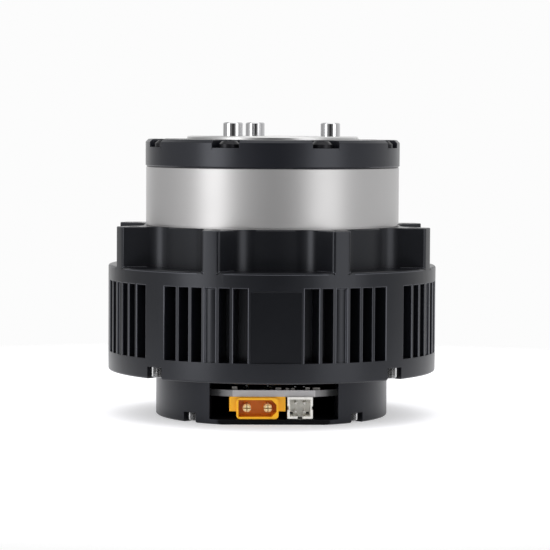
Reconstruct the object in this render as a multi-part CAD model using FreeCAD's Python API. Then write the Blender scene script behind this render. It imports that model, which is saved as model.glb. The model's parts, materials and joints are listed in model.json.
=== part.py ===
import FreeCAD, Part
import math
import os

# Robot joint actuator: finned motor, planetary gear stage and driver electronics.
# Units are millimetres.  The origin is the centre of the base's underside and +Z
# runs along the turning axis towards the output flange.  The connector window of
# the base looks along -Y.

V = FreeCAD.Vector

# --- heights, stacked from the underside of the base upwards -----------------
BASE_FLOOR = 1.2              # floor of the driver cover
SHELL_LIFT = 0.1              # power connector above that floor
POWER_SHELL = (10.0, 5.0)     # width and height of the power connector's shell
SHELL_DROP = 0.2              # top of the shell below the board
BOARD_T = 1.55
BOARD_ROOM = 2.95             # board to rear plate
REAR_PLATE_T = 4.75           # rear plate, which closes the fin slots below
FIN_H = 17.25                 # open height of the fin slots
SHOULDER_H = 3.7              # solid shoulder above the fin slots
LUG_H = 9.6                   # lugs, and the neck between them
RING_H = 14.2                 # bare steel ring
CAP_H = 6.7                   # front cap
FLANGE_PROUD = 0.8            # output face above the cap
DOWEL_PROUD = 3.3             # dowels above the output face
POWER_BOTTOM = BASE_FLOOR + SHELL_LIFT
BOARD_BOTTOM = POWER_BOTTOM + POWER_SHELL[1] + SHELL_DROP
BOARD_TOP = BOARD_BOTTOM + BOARD_T
BAND_BOTTOM = BOARD_TOP + BOARD_ROOM
PLATE_TOP = BAND_BOTTOM + REAR_PLATE_T
FIN_TOP = PLATE_TOP + FIN_H
BAND_TOP = FIN_TOP + SHOULDER_H
LUG_TOP = BAND_TOP + LUG_H
RING_TOP = LUG_TOP + RING_H
CAP_TOP = RING_TOP + CAP_H
FLANGE_TOP = CAP_TOP + FLANGE_PROUD
DOWEL_TOP = FLANGE_TOP + DOWEL_PROUD

# --- finned motor housing ----------------------------------------------------
BAND_R = 40.0                 # outer radius of the finned band
NECK_R = 31.5                 # neck between the lugs
FIN_T = 0.8                   # thickness of a cooling fin
FIN_ANGLES = (15, 20, 25, 30, 35)
WIDE_BLOCK = 13.1             # solid blocks at the four quarter points
NARROW_BLOCK = 6.3            # solid blocks half way between them
LUG_COUNT = 8
LUG_FIRST = 22.5              # angle of the first lug from the X axis
LUG_FACE = 3.1                # width of a lug's outer face
LUG_EDGE_R = 0.85             # round edge between its face and its sides
LUG_FILLET = 5.5              # fillet between a lug's side and the neck
LUG_FILLET_Y = 9.0            # centre of that fillet from the lug's middle plane
LUG_HOLE_INSET = 3.8          # mounting holes in the lugs, inside the band's outline
LUG_PCD = 2.0 * (BAND_R - LUG_HOLE_INSET)
LUG_HOLE_R = 1.25             # M3 tapping drill
LUG_HOLE_DEPTH = 9.0
BOSS_R = 3.4                  # round boss under each lug, seen between fins
LABEL_FLAT_DEPTH = 0.55       # flat recess on the front block
LABEL_FLAT_Y = BAND_R - LABEL_FLAT_DEPTH
LABEL_FLAT_HALF = 5.8
LABEL_BEVEL = 0.9             # height of the slope at the recess's upper edge

# --- steel gear body and front cap -------------------------------------------
RING_R = NECK_R - 0.62        # bare steel ring, set in from the neck
RING_FOOT = LUG_TOP           # shoulder that rests on the housing neck
RING_POCKET_R = 23.2          # room around the planet carrier
RING_SPIGOT_R = RING_POCKET_R + 3.1
RING_SPIGOT_L = 4.0
FOOT_GROOVE = 0.35            # dark groove at the ring's foot
CAP_R = RING_R + 0.15
CAP_BEVEL = 0.7
CAP_FOOT_BEVEL = 0.4
CAP_SPIGOT_R = 24.0
CAP_SPIGOT_L = 1.5
CAP_LIP_R = 21.3
CAP_SCREW_COUNT = 8
CAP_SCREW_INSET = 2.83        # M2.5 cap screws, inside the cap's outline
CAP_SCREW_R = CAP_R - CAP_SCREW_INSET
CAP_NOTCH_W = 6.8
CAP_NOTCH_DEPTH = 1.9
CAP_HEAD_R = 2.5
CAP_HEAD_H = 1.65
CAP_HEAD_BEVEL = 0.75         # low heads with sloping shoulders
CAP_SOCKET_R = 0.9
CAP_TAP_DEPTH = 8.0           # threads in the neck
M25_R = 1.25
M25_CLEAR_R = 1.4
M3_R = 1.5
M3_CLEAR_R = 1.7

# --- output side -------------------------------------------------------------
FLANGE_R = 20.9
FLANGE_RIM_T = 1.6
DOWEL_R = 2.4                 # free end of a dowel
DOWEL_SHANK_R = 2.0           # pressed end of a dowel
DOWEL_PCD = 28.6
DOWEL_FIRST = -13.5           # angle of the first dowel from the X axis
DOWEL_DEPTH = 6.7             # length pressed into the flange
DOWEL_BOTTOM = FLANGE_TOP - DOWEL_DEPTH
DOWEL_BEVEL = 0.25
DOWEL_SEAT_R = 2.6            # countersink around each dowel
TAP_R = 1.65                  # M4 tapping drill between the dowels
TAP_DEPTH = 6.0
FLANGE_SCREW_PCD = 17.5
FLANGE_SCREW_COUNT = 6
FLANGE_SCREW_L = 7.0
FLANGE_HEAD_R = 2.7
FLANGE_HEAD_H = 2.9
FLANGE_SINK_R = 2.9           # counterbore of a flange screw
FLANGE_SINK_DEPTH = 3.2
M3_SOCKET_R = 1.25

# --- planetary gear stage ----------------------------------------------------
MODULE = 0.8
SUN_TEETH = 12
PLANET_TEETH = 21
RING_TEETH = 54
PRESSURE_ANGLE = 20.0
ADDENDUM = 0.80 * MODULE
DEDENDUM = 1.15 * MODULE
FLANK_PLAY = 0.035            # thinning of each flank
GEAR_BOTTOM = LUG_TOP + 0.7
GEAR_TOP = RING_TOP - 3.5
CARRIER_GAP = 0.4             # planet face to carrier plate
CARRIER_R = 20.0
CARRIER_BASE_T = 2.8
CARRIER_STEP = 0.4            # shoulder on the carrier bearing
CARRIER_BORE_R = 7.0          # room around the sun gear's neck
PILLAR_R = 3.6
PILLAR_ORBIT = 14.4
AXLE_R = 2.5
BUSH_R = 3.5
RUNNING = 0.05                # radial clearance of a running fit
WASHER_R = 4.6
WASHER_T = 0.3

# --- bearings: bore radius, outer radius, width ------------------------------
OUTPUT_BEARING = (17.5, 22.0, 5.0)
CARRIER_BEARING = (15.0, 18.5, 4.0)
ROTOR_BEARING = (5.0, 9.5, 5.0)
OUTPUT_BEARING_Z = CAP_TOP - OUTPUT_BEARING[2] - 1.3
HUB_BOTTOM = OUTPUT_BEARING_Z - 0.3
CARRIER_LOW = GEAR_BOTTOM - CARRIER_GAP
CARRIER_HIGH = GEAR_TOP + CARRIER_GAP
CARRIER_FOOT = CARRIER_LOW - CARRIER_BASE_T
CARRIER_BEARING_Z = CARRIER_FOOT - CARRIER_STEP - CARRIER_BEARING[2]
CARRIER_SEAT_WALL = 2.3       # boss wall around the carrier bearing
CARRIER_SEAT_LEDGE = 1.1      # ledge under the carrier bearing
RACE_PLAY = 0.03              # rolling element to raceway
WEB_TOP = CARRIER_BEARING_Z - 0.8
WEB_BOTTOM = WEB_TOP - 3.6
LOWER_BEARING_Z = BAND_BOTTOM + 1.0
UPPER_BEARING_Z = WEB_TOP - 0.6 - ROTOR_BEARING[2]
OUTPUT_ROLLERS = 20
CARRIER_BALLS = 14
ROTOR_BALLS = 8

# --- motor -------------------------------------------------------------------
BORE_R = 32.5                 # housing bore that grips the stator
FIN_WALL = 2.0                # wall between the bore and the fin slots
FIN_ROOT_R = BORE_R + FIN_WALL
END_TURN_ROOM_R = 30.6        # room for the upper end turns
BEARING_BOSS_R = 12.0         # boss around each rotor bearing
SHAFT_PASSAGE_R = 8.0         # opening beside a rotor bearing
PLATE_SPIGOT_W = 1.65         # width of the rear plate's centring ring
PLATE_SPIGOT_H = 1.4
STACK_BOTTOM = PLATE_TOP + 3.25
STACK_TOP = WEB_BOTTOM - 4.0
STATOR_SLOTS = 18
STATOR_BORE_R = 21.1
STATOR_YOKE_R = 29.6
TOOTH_W = 3.4
TOOTH_TIP_W = 6.0
TOOTH_TIP_R = 22.7
COIL_BULGE = 2.6              # end turns beyond the stack
ROTOR_POLES = 20
MAGNET_R = 20.4
ROTOR_CORE_R = 17.7
ROTOR_CORE_BORE_R = 14.2
ROTOR_BOTTOM = STACK_BOTTOM - 0.5
ROTOR_TOP = STACK_TOP + 0.5
SHAFT_BOTTOM = BAND_BOTTOM - 0.8
SUN_STUB_R = 3.0
SHAFT_SHOULDER_R = 6.2        # shaft between the bearings
ROTOR_DISC_LIFT = 3.0         # disc that carries the rotor rim, above the rim's end
ROTOR_DISC_T = 4.0
ROTOR_RIM_R = 11.0            # inside of the rotor rim
LIGHTENING_R = 1.6            # holes through the rotor disc
LIGHTENING_ORBIT = 8.6
ENCODER_MAGNET_R = 3.0
ENCODER_MAGNET_H = 2.3

# --- base with the driver ----------------------------------------------------
BASE_R = 28.3
BASE_WALL = 2.0
WINDOW_HALF = 15.25
WINDOW_BACK = BASE_R - 9.3
RIM_FLAT_Y = BASE_R - 3.3     # flat on the floor under the connectors
BASE_SCREW_R = BASE_R - 2.4   # M2 cover screws, circle radius
BASE_NOTCH_W = 3.9
BASE_NOTCH_H = 2.3
BASE_HEAD_R = 1.8
BASE_HEAD_H = 2.0
BASE_SOCKET_R = 0.85
BASE_SCREW_L = BAND_BOTTOM - BASE_NOTCH_H + 2.8
M2_R = 1.0
M2_CLEAR_R = 1.15
COVER_BOSS_R = 3.0
PLATE_SCREW_R = BAND_R - 2.4  # M2.5 rear plate screws, circle radius
PLATE_TAP_DEPTH = 9.0
PLATE_NOTCH_W = 4.8
PLATE_NOTCH_H = 2.85
PLATE_HEAD_R = 2.25
PLATE_HEAD_H = 2.5
PLATE_SOCKET_R = 1.15
PLATE_SCREW_L = REAR_PLATE_T - PLATE_NOTCH_H + 8.1
SCREW_CORNERS = (45, 135, 225, 315)
BOARD_CLEARANCE = 0.7         # board edge to cover wall
BOARD_R = BASE_R - BASE_WALL - BOARD_CLEARANCE
BOARD_FLAT_Y = BOARD_R - 1.95 # straight front edge behind the window
STANDOFF_ORBIT = BOARD_R - 3.3
STANDOFF_ANGLES = (-20, 90, 200)
STANDOFF_R = 2.0
LEAD_ANGLES = (60, 80, 100)
LEAD_ORBIT = BOARD_R - 1.6
LEAD_R = 0.9
LEAD_HOLE_R = 1.6

# --- connectors --------------------------------------------------------------
POWER_X = -3.9                # centre of the power connector
POWER_EAR_W = 13.3
POWER_EAR_BOTTOM = BOARD_BOTTOM - 3.45
POWER_WALL = 0.5
POWER_FRONT = BOARD_FLAT_Y + 1.05   # the mouth stands out past the board's edge
POWER_EAR_FRONT = BOARD_FLAT_Y + 0.1
POWER_BACK = BOARD_FLAT_Y - 6.15
POWER_CAVITY = 6.0
TAIL_PROUD = 0.2              # pin tails above the board
POWER_PIN_R = 1.0
POWER_PITCH = 5.0
POWER_CORNER = 1.15           # two chamfered corners that key the plug
SIGNAL_X = 6.2
SIGNAL_SIZE = (6.0, 5.15)
SIGNAL_WALL = 0.55
SIGNAL_FRONT = BOARD_FLAT_Y + 0.75
SIGNAL_BACK = BOARD_FLAT_Y - 5.65
SIGNAL_PITCH = 2.0
SIGNAL_PIN = 0.5


def cyl(radius, z0, z1, x=0.0, y=0.0):
    """Solid cylinder between two heights."""
    return Part.makeCylinder(radius, z1 - z0, V(x, y, z0))


def tube(outer, inner, z0, z1):
    """Ring between two radii and two heights."""
    return cyl(outer, z0, z1).cut(cyl(inner, z0 - 1, z1 + 1))


def box(x0, x1, y0, y1, z0, z1):
    """Box between two corners."""
    return Part.makeBox(x1 - x0, y1 - y0, z1 - z0, V(x0, y0, z0))


def polar(radius, degrees, z=0.0):
    """Point at a radius and an angle from the X axis."""
    a = math.radians(degrees)
    return V(radius * math.cos(a), radius * math.sin(a), z)


def turned(shape, degrees):
    """Copy of a shape turned about the Z axis."""
    copy = shape.copy()
    copy.rotate(V(0, 0, 0), V(0, 0, 1), degrees)
    return copy


def around(shape, angles):
    """List of copies of a shape turned to each angle."""
    return [turned(shape, a) for a in angles]


def ring_angles(count, first=0.0):
    """Evenly spaced angles."""
    return [first + 360.0 * i / count for i in range(count)]


def moved(shape, x, y, z):
    """Copy of a shape moved by an offset."""
    copy = shape.copy()
    copy.translate(V(x, y, z))
    return copy


def revolved(profile):
    """Solid of revolution from (radius, height) points."""
    points = [V(r, 0, z) for r, z in profile]
    wire = Part.makePolygon(points + [points[0]])
    return Part.Face(wire).revolve(V(0, 0, 0), V(0, 0, 1), 360)


def prism(points, z0, z1):
    """Prism from (x, y) points."""
    corners = [V(x, y, z0) for x, y in points]
    wire = Part.makePolygon(corners + [corners[0]])
    return Part.Face(wire).extrude(V(0, 0, z1 - z0))


def save(name, shape):
    """Write one node to its STEP file."""
    shape.exportStep("parts/" + name + ".step")


def group(solids):
    """Separate solids that share one node."""
    return Part.makeCompound(solids)


# --- gear tooth forms --------------------------------------------------------


def involute(angle):
    """Involute function of an angle in radians."""
    return math.tan(angle) - angle


def tooth_outline(teeth, tip_r, root_r, play):
    """Closed outline of an involute gear, with a tooth centred on +X.

    The half angle of a tooth at radius r is its half angle at the pitch
    circle plus inv(pressure angle) minus inv(pressure angle at r).
    """
    pitch_r = MODULE * teeth / 2.0
    alpha = math.radians(PRESSURE_ANGLE)
    base_r = pitch_r * math.cos(alpha)
    half_pitch = math.pi / (2.0 * teeth) - play / pitch_r
    start_r = max(base_r, min(root_r, tip_r))
    steps = 4
    flank = []
    for i in range(steps):
        r = start_r + (tip_r - start_r) * i / (steps - 1.0)
        at_r = math.acos(min(1.0, base_r / r))
        flank.append((r, half_pitch + involute(alpha) - involute(at_r)))
    if root_r < start_r:
        flank.insert(0, (root_r, flank[0][1]))
    points = []
    for tooth in range(teeth):
        centre = 2.0 * math.pi * tooth / teeth
        for r, half in flank:
            points.append((r * math.cos(centre - half), r * math.sin(centre - half)))
        for r, half in reversed(flank):
            points.append((r * math.cos(centre + half), r * math.sin(centre + half)))
    return points


def external_gear(teeth, z0, z1, bore_r, first):
    """Spur gear with a tooth centred on the angle first."""
    pitch_r = MODULE * teeth / 2.0
    outline = tooth_outline(teeth, pitch_r + ADDENDUM, pitch_r - DEDENDUM, FLANK_PLAY)
    gear = prism(outline, z0, z1)
    if bore_r > 0:
        gear = gear.cut(cyl(bore_r, z0 - 1, z1 + 1))
    return turned(gear, first)


def internal_space(teeth, z0, z1, first):
    """Cutter for a ring gear, with a tooth space centred on the angle first."""
    pitch_r = MODULE * teeth / 2.0
    outline = tooth_outline(teeth, pitch_r + DEDENDUM, pitch_r - ADDENDUM, -FLANK_PLAY)
    return turned(prism(outline, z0, z1), first)


# --- bearings ----------------------------------------------------------------


def race_outline(wall, middle, land, depth, half_w, centre, width):
    """Outline of a race, from its wall to a land with a straight-sided groove.

    land and depth are measured from the middle radius, outwards if positive.
    """
    low = centre - width / 2.0
    high = centre + width / 2.0
    return [(wall, low), (wall, high), (middle + land, high), (middle + land, centre + half_w),
            (middle + depth, centre + 0.5 * half_w), (middle + depth, centre - 0.5 * half_w),
            (middle + land, centre - half_w), (middle + land, low)]


def bearing(spec, z0, count, kind):
    """Outer race, inner race and rolling elements of one bearing."""
    bore, outer, width = spec
    middle = (bore + outer) / 2.0
    section = outer - bore
    centre = z0 + width / 2.0
    element_r = 0.30 * section
    depth = element_r + RACE_PLAY
    if kind == "ball":
        land = 0.17 * section
        outer_race = revolved(race_outline(outer, middle, land, depth, element_r, centre, width))
        inner_race = revolved(race_outline(bore, middle, -land, -depth, element_r, centre, width))
        element = Part.makeSphere(element_r, V(middle, 0, centre))
    else:
        outer_race = tube(outer, middle + depth, z0, z0 + width)
        inner_race = tube(middle - depth, bore, z0, z0 + width)
        length = 0.56 * width
        element = cyl(element_r, centre - length / 2, centre + length / 2, middle, 0)
        element = element.makeChamfer(0.15, element.Edges)
    elements = group(around(element, ring_angles(count)))
    return outer_race, inner_race, elements


# --- screws ------------------------------------------------------------------


def cap_screw(head_r, head_h, shank_r, length, socket_r, angle_r, head_z, up, bevel=0.25):
    """Socket head screw on the circle of radius angle_r.

    head_z is the face the head bears on.  With up true the shank points up
    and the head hangs below that face.  bevel is the slope around the head's end.
    """
    socket = prism([(socket_r * math.cos(math.radians(60 * i)),
                     socket_r * math.sin(math.radians(60 * i))) for i in range(6)],
                   head_h * 0.45, head_h + 1)
    head = cyl(head_r, 0, head_h)
    rims = sorted([e for e in head.Edges if e.Closed], key=lambda e: e.CenterOfMass.z)
    head = head.makeChamfer(bevel, [rims[-1]])
    screw = head.cut(socket).fuse(cyl(shank_r, -length, 0.0))
    screw = screw.removeSplitter()
    if up:
        screw.rotate(V(0, 0, 0), V(1, 0, 0), 180)
    screw.translate(V(angle_r, 0, head_z))
    return screw


def radial_notch(width, centre_r, outer_r, z0, z1):
    """U-shaped pocket around a screw, open towards the outside."""
    slot = cyl(width / 2.0, z0, z1, centre_r, 0)
    return slot.fuse(box(centre_r, outer_r + 2, -width / 2.0, width / 2.0, z0, z1))


os.makedirs("parts", exist_ok=True)

CORNERS = list(SCREW_CORNERS)
LUG_ANGLES = ring_angles(LUG_COUNT, LUG_FIRST)

# --- motor housing: finned band, lugs and neck -------------------------------


def arc(centre, radius, start, end):
    """Arc about a centre between two angles in radians."""
    ends = []
    for a in (start, (start + end) / 2.0, end):
        ends.append(V(centre.x + radius * math.cos(a), centre.y + radius * math.sin(a), centre.z))
    return Part.Arc(*ends).toShape()


def lug_prism():
    """One lug along +X: a face on the band's radius, round edges, sides that spread
    inwards and fillets down to the neck.

    A side is the line that touches the edge's circle and the fillet's circle from
    opposite sides.  Its normal makes the angle acos((r1 + r2) / distance) with the
    line between the two centres.
    """
    low = BAND_TOP - 0.5
    face_angle = math.asin(LUG_FACE / 2.0 / BAND_R)
    edge = V((BAND_R - LUG_EDGE_R) * math.cos(face_angle), (BAND_R - LUG_EDGE_R) * math.sin(face_angle), low)
    reach = NECK_R + LUG_FILLET
    fillet = V(math.sqrt(reach ** 2 - LUG_FILLET_Y ** 2), LUG_FILLET_Y, low)
    between = fillet.sub(edge)
    normal = math.atan2(between.y, between.x) - math.acos((LUG_EDGE_R + LUG_FILLET) / between.Length)
    foot = math.atan2(fillet.y, fillet.x)
    edge_arc = arc(edge, LUG_EDGE_R, face_angle, normal)
    fillet_arc = arc(fillet, LUG_FILLET, math.pi + normal, math.pi + foot)
    edge_end = edge_arc.valueAt(edge_arc.LastParameter)
    side = Part.makeLine(edge_end, fillet_arc.valueAt(fillet_arc.FirstParameter))
    foot_point = fillet_arc.valueAt(fillet_arc.LastParameter)
    inner = V(NECK_R - 1.5, foot_point.y, low)
    half = [edge_arc, side, fillet_arc, Part.makeLine(foot_point, inner)]
    other = []
    for piece in half:
        other.append(piece.mirror(V(0, 0, 0), V(0, 1, 0)))
    face = arc(V(0, 0, low), BAND_R, -face_angle, face_angle)
    back = Part.makeLine(inner, V(inner.x, -inner.y, low))
    wire = Part.Wire(Part.__sortEdges__([face, back] + half + other))
    return Part.Face(wire).extrude(V(0, 0, LUG_TOP - low))


def fin_slots():
    """Cutters between the fins, blocks and round bosses of one quadrant."""
    half = [(0.0, WIDE_BLOCK / 2.0)]
    for a in FIN_ANGLES:
        half.append((float(a), FIN_T / 2.0))
    half.append((45.0, NARROW_BLOCK / 2.0))
    quarter = half + [(90.0 - a, w) for a, w in reversed(half[:-1])]
    cutters = []
    for (a0, w0), (a1, w1) in zip(quarter[:-1], quarter[1:]):
        corners = []
        for r, a, w in ((FIN_ROOT_R, a0, w0), (BAND_R + 2, a0, w0),
                        (BAND_R + 2, a1, -w1), (FIN_ROOT_R, a1, -w1)):
            bearing_angle = a + math.degrees(math.asin(w / r))
            p = polar(r, bearing_angle)
            corners.append((p.x, p.y))
        cutters.append(prism(corners, PLATE_TOP - 1, FIN_TOP))
    return cutters


SEAT_R = CARRIER_BEARING[1] + CARRIER_SEAT_WALL
LEDGE_R = CARRIER_BEARING[1] - CARRIER_SEAT_LEDGE
housing = revolved([(BORE_R, PLATE_TOP), (BAND_R, PLATE_TOP), (BAND_R, BAND_TOP - 0.3),
                    (BAND_R - 0.3, BAND_TOP), (NECK_R, BAND_TOP), (NECK_R, LUG_TOP - 0.3),
                    (NECK_R - 0.3, LUG_TOP), (RING_SPIGOT_R, LUG_TOP),
                    (RING_SPIGOT_R, RING_FOOT - RING_SPIGOT_L),
                    (RING_POCKET_R, RING_FOOT - RING_SPIGOT_L), (RING_POCKET_R, WEB_TOP),
                    (SEAT_R, WEB_TOP), (SEAT_R, CARRIER_BEARING_Z + CARRIER_BEARING[2]),
                    (CARRIER_BEARING[1], CARRIER_BEARING_Z + CARRIER_BEARING[2]),
                    (CARRIER_BEARING[1], CARRIER_BEARING_Z),
                    (LEDGE_R, CARRIER_BEARING_Z), (LEDGE_R, WEB_TOP), (SHAFT_PASSAGE_R, WEB_TOP),
                    (SHAFT_PASSAGE_R, UPPER_BEARING_Z + ROTOR_BEARING[2]),
                    (ROTOR_BEARING[1], UPPER_BEARING_Z + ROTOR_BEARING[2]),
                    (ROTOR_BEARING[1], UPPER_BEARING_Z), (BEARING_BOSS_R, UPPER_BEARING_Z),
                    (BEARING_BOSS_R, WEB_BOTTOM), (END_TURN_ROOM_R, WEB_BOTTOM),
                    (END_TURN_ROOM_R, STACK_TOP),
                    (BORE_R, STACK_TOP)])
band_cutters = []
for quadrant in range(4):
    for cutter in fin_slots():
        band_cutters.append(turned(cutter, 90.0 * quadrant))
boss = cyl(BOSS_R, PLATE_TOP, FIN_TOP + 0.5, LUG_PCD / 2.0, 0)
bosses = around(boss, LUG_ANGLES)
boss_windows = []
for a in LUG_ANGLES:
    window = box(FIN_ROOT_R - 1, BAND_R + 2, -1.35, 1.35, PLATE_TOP - 1, FIN_TOP)
    boss_windows.append(turned(window, a))
lug = lug_prism()
housing = housing.cut(band_cutters)
slot_bosses = []
for solid, window in zip(bosses, boss_windows):
    slot_bosses.append(solid.common(window))
housing = housing.fuse(slot_bosses + around(lug, LUG_ANGLES))
holes = []
for a in LUG_ANGLES:
    holes.append(turned(cyl(LUG_HOLE_R, LUG_TOP - LUG_HOLE_DEPTH, LUG_TOP + 1, LUG_PCD / 2.0, 0), a))
    screw_hole = cyl(M25_R, RING_FOOT - CAP_TAP_DEPTH, RING_FOOT, CAP_SCREW_R, 0)
    holes.append(turned(screw_hole, a))
for a in CORNERS:
    tapped = cyl(M25_R, PLATE_TOP - 1, PLATE_TOP + PLATE_TAP_DEPTH, PLATE_SCREW_R, 0)
    holes.append(turned(tapped, a))
# the recess on the front block has sloped sides and a sloped upper edge
recess_mouth = BAND_R + 0.3
sides = prism([(-WIDE_BLOCK / 2, -recess_mouth), (WIDE_BLOCK / 2, -recess_mouth),
               (LABEL_FLAT_HALF, -LABEL_FLAT_Y), (-LABEL_FLAT_HALF, -LABEL_FLAT_Y)],
              PLATE_TOP - 1, FIN_TOP)
slope = [(-recess_mouth, PLATE_TOP - 1), (-LABEL_FLAT_Y, PLATE_TOP - 1),
         (-LABEL_FLAT_Y, FIN_TOP - LABEL_BEVEL), (-recess_mouth, FIN_TOP)]
slope_corners = [V(-WIDE_BLOCK, y, z) for y, z in slope]
slope_face = Part.Face(Part.makePolygon(slope_corners + [slope_corners[0]]))
recess = sides.common(slope_face.extrude(V(2 * WIDE_BLOCK, 0, 0)))
housing = housing.cut(holes + [recess])
save("motor_housing", housing.removeSplitter())

# --- rear plate --------------------------------------------------------------
LOWER_SEAT_TOP = LOWER_BEARING_Z + ROTOR_BEARING[2]
SPIGOT_R = BORE_R - RUNNING
rear_plate = revolved([(SHAFT_PASSAGE_R, BAND_BOTTOM), (BAND_R - 0.3, BAND_BOTTOM),
                       (BAND_R, BAND_BOTTOM + 0.3), (BAND_R, PLATE_TOP),
                       (SPIGOT_R, PLATE_TOP), (SPIGOT_R, PLATE_TOP + PLATE_SPIGOT_H),
                       (SPIGOT_R - PLATE_SPIGOT_W, PLATE_TOP + PLATE_SPIGOT_H),
                       (SPIGOT_R - PLATE_SPIGOT_W, PLATE_TOP),
                       (BEARING_BOSS_R + 0.5, PLATE_TOP), (BEARING_BOSS_R, LOWER_SEAT_TOP),
                       (ROTOR_BEARING[1], LOWER_SEAT_TOP),
                       (ROTOR_BEARING[1], LOWER_BEARING_Z), (SHAFT_PASSAGE_R, LOWER_BEARING_Z)])
plate_cuts = []
for a in CORNERS:
    notch = radial_notch(PLATE_NOTCH_W, PLATE_SCREW_R, BAND_R, BAND_BOTTOM - 1,
                         BAND_BOTTOM + PLATE_NOTCH_H)
    plate_cuts.append(turned(notch, a))
    hole = cyl(M25_R + 0.15, BAND_BOTTOM, PLATE_TOP + 1, PLATE_SCREW_R, 0)
    plate_cuts.append(turned(hole, a))
    cover_tap = cyl(M2_R, BAND_BOTTOM - 1, BAND_BOTTOM + 3.2, BASE_SCREW_R, 0)
    plate_cuts.append(turned(cover_tap, a))
for a in STANDOFF_ANGLES:
    p = polar(STANDOFF_ORBIT, a)
    plate_cuts.append(cyl(M2_R, BAND_BOTTOM - 1, BAND_BOTTOM + 3.0, p.x, p.y))
lead_slot = []
for a in LEAD_ANGLES:
    p = polar(LEAD_ORBIT, a)
    lead_slot.append(cyl(LEAD_HOLE_R, BAND_BOTTOM - 1, PLATE_TOP + 1, p.x, p.y))
rear_plate = rear_plate.cut(plate_cuts + lead_slot)
save("rear_plate", rear_plate)

plate_screw = cap_screw(PLATE_HEAD_R, PLATE_HEAD_H, M25_R, PLATE_SCREW_L, PLATE_SOCKET_R,
                        PLATE_SCREW_R, BAND_BOTTOM + PLATE_NOTCH_H, True)
save("rear_plate_screws", group(around(plate_screw, CORNERS)))

# --- base: driver cover ------------------------------------------------------
cover = revolved([(0.0, 0.0), (BASE_R - 0.3, 0.0), (BASE_R, 0.3), (BASE_R, BAND_BOTTOM),
                  (BASE_R - BASE_WALL, BAND_BOTTOM), (BASE_R - BASE_WALL, BASE_FLOOR),
                  (0.0, BASE_FLOOR)])
post = cyl(COVER_BOSS_R, BASE_FLOOR - 0.5, BAND_BOTTOM, BASE_SCREW_R - 1.0, 0)
post = post.common(cyl(BASE_R, 0, BAND_BOTTOM))
cover = cover.fuse(around(post, CORNERS))
cover_cuts = [box(-WINDOW_HALF, WINDOW_HALF, -BASE_R - 1, -WINDOW_BACK, BASE_FLOOR, BAND_BOTTOM + 1),
              box(-BASE_R, BASE_R, -BASE_R - 1, -RIM_FLAT_Y, -1, BASE_FLOOR)]
for a in CORNERS:
    notch = radial_notch(BASE_NOTCH_W, BASE_SCREW_R, BASE_R, -1, BASE_NOTCH_H)
    cover_cuts.append(turned(notch, a))
    cover_cuts.append(turned(cyl(M2_CLEAR_R, 0, BAND_BOTTOM + 1, BASE_SCREW_R, 0), a))
save("driver_cover", cover.cut(cover_cuts).removeSplitter())

cover_screw = cap_screw(BASE_HEAD_R, BASE_HEAD_H, M2_R, BASE_SCREW_L, BASE_SOCKET_R,
                        BASE_SCREW_R, BASE_NOTCH_H, True)
save("driver_cover_screws", group(around(cover_screw, CORNERS)))

# --- ring gear body ----------------------------------------------------------
MESH_ANGLE = DOWEL_FIRST      # planet 1 and a ring tooth space lie under the first dowel
RING_TIP_R = MODULE * RING_TEETH / 2.0 - 2.0 * MODULE      # blank before the teeth are cut
ring = revolved([(RING_POCKET_R, RING_FOOT - RING_SPIGOT_L), (RING_SPIGOT_R, RING_FOOT - RING_SPIGOT_L),
                 (RING_SPIGOT_R, RING_FOOT), (RING_R - FOOT_GROOVE, RING_FOOT),
                 (RING_R - FOOT_GROOVE, RING_FOOT + 0.5), (RING_R, RING_FOOT + 0.5),
                 (RING_R, RING_TOP - 0.15), (RING_R - 0.15, RING_TOP),
                 (CAP_SPIGOT_R, RING_TOP), (CAP_SPIGOT_R, RING_TOP - CAP_SPIGOT_L - 0.2),
                 (RING_POCKET_R, RING_TOP - CAP_SPIGOT_L - 0.2), (RING_POCKET_R, GEAR_TOP),
                 (RING_TIP_R, GEAR_TOP), (RING_TIP_R, GEAR_BOTTOM), (RING_POCKET_R, GEAR_BOTTOM)])
ring_cuts = [internal_space(RING_TEETH, GEAR_BOTTOM - 1, GEAR_TOP + 1, MESH_ANGLE)]
for a in LUG_ANGLES:
    hole = cyl(M25_CLEAR_R, RING_FOOT - RING_SPIGOT_L - 1, RING_TOP + 1, CAP_SCREW_R, 0)
    ring_cuts.append(turned(hole, a))
save("ring_gear", ring.cut(ring_cuts))

# --- front cap ---------------------------------------------------------------
cap = revolved([(OUTPUT_BEARING[1], RING_TOP - CAP_SPIGOT_L), (CAP_SPIGOT_R, RING_TOP - CAP_SPIGOT_L),
                (CAP_SPIGOT_R, RING_TOP), (CAP_R - CAP_FOOT_BEVEL, RING_TOP),
                (CAP_R, RING_TOP + CAP_FOOT_BEVEL), (CAP_R, CAP_TOP - CAP_BEVEL),
                (CAP_R - CAP_BEVEL, CAP_TOP), (CAP_LIP_R, CAP_TOP),
                (CAP_LIP_R, OUTPUT_BEARING_Z + OUTPUT_BEARING[2]),
                (OUTPUT_BEARING[1], OUTPUT_BEARING_Z + OUTPUT_BEARING[2])])
cap_cuts = []
for a in LUG_ANGLES:
    notch = radial_notch(CAP_NOTCH_W, CAP_SCREW_R, CAP_R, CAP_TOP - CAP_NOTCH_DEPTH, CAP_TOP + 1)
    cap_cuts.append(turned(notch, a))
    cap_cuts.append(turned(cyl(M25_CLEAR_R, RING_TOP - 2, CAP_TOP, CAP_SCREW_R, 0), a))
save("front_cap", cap.cut(cap_cuts))

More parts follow.
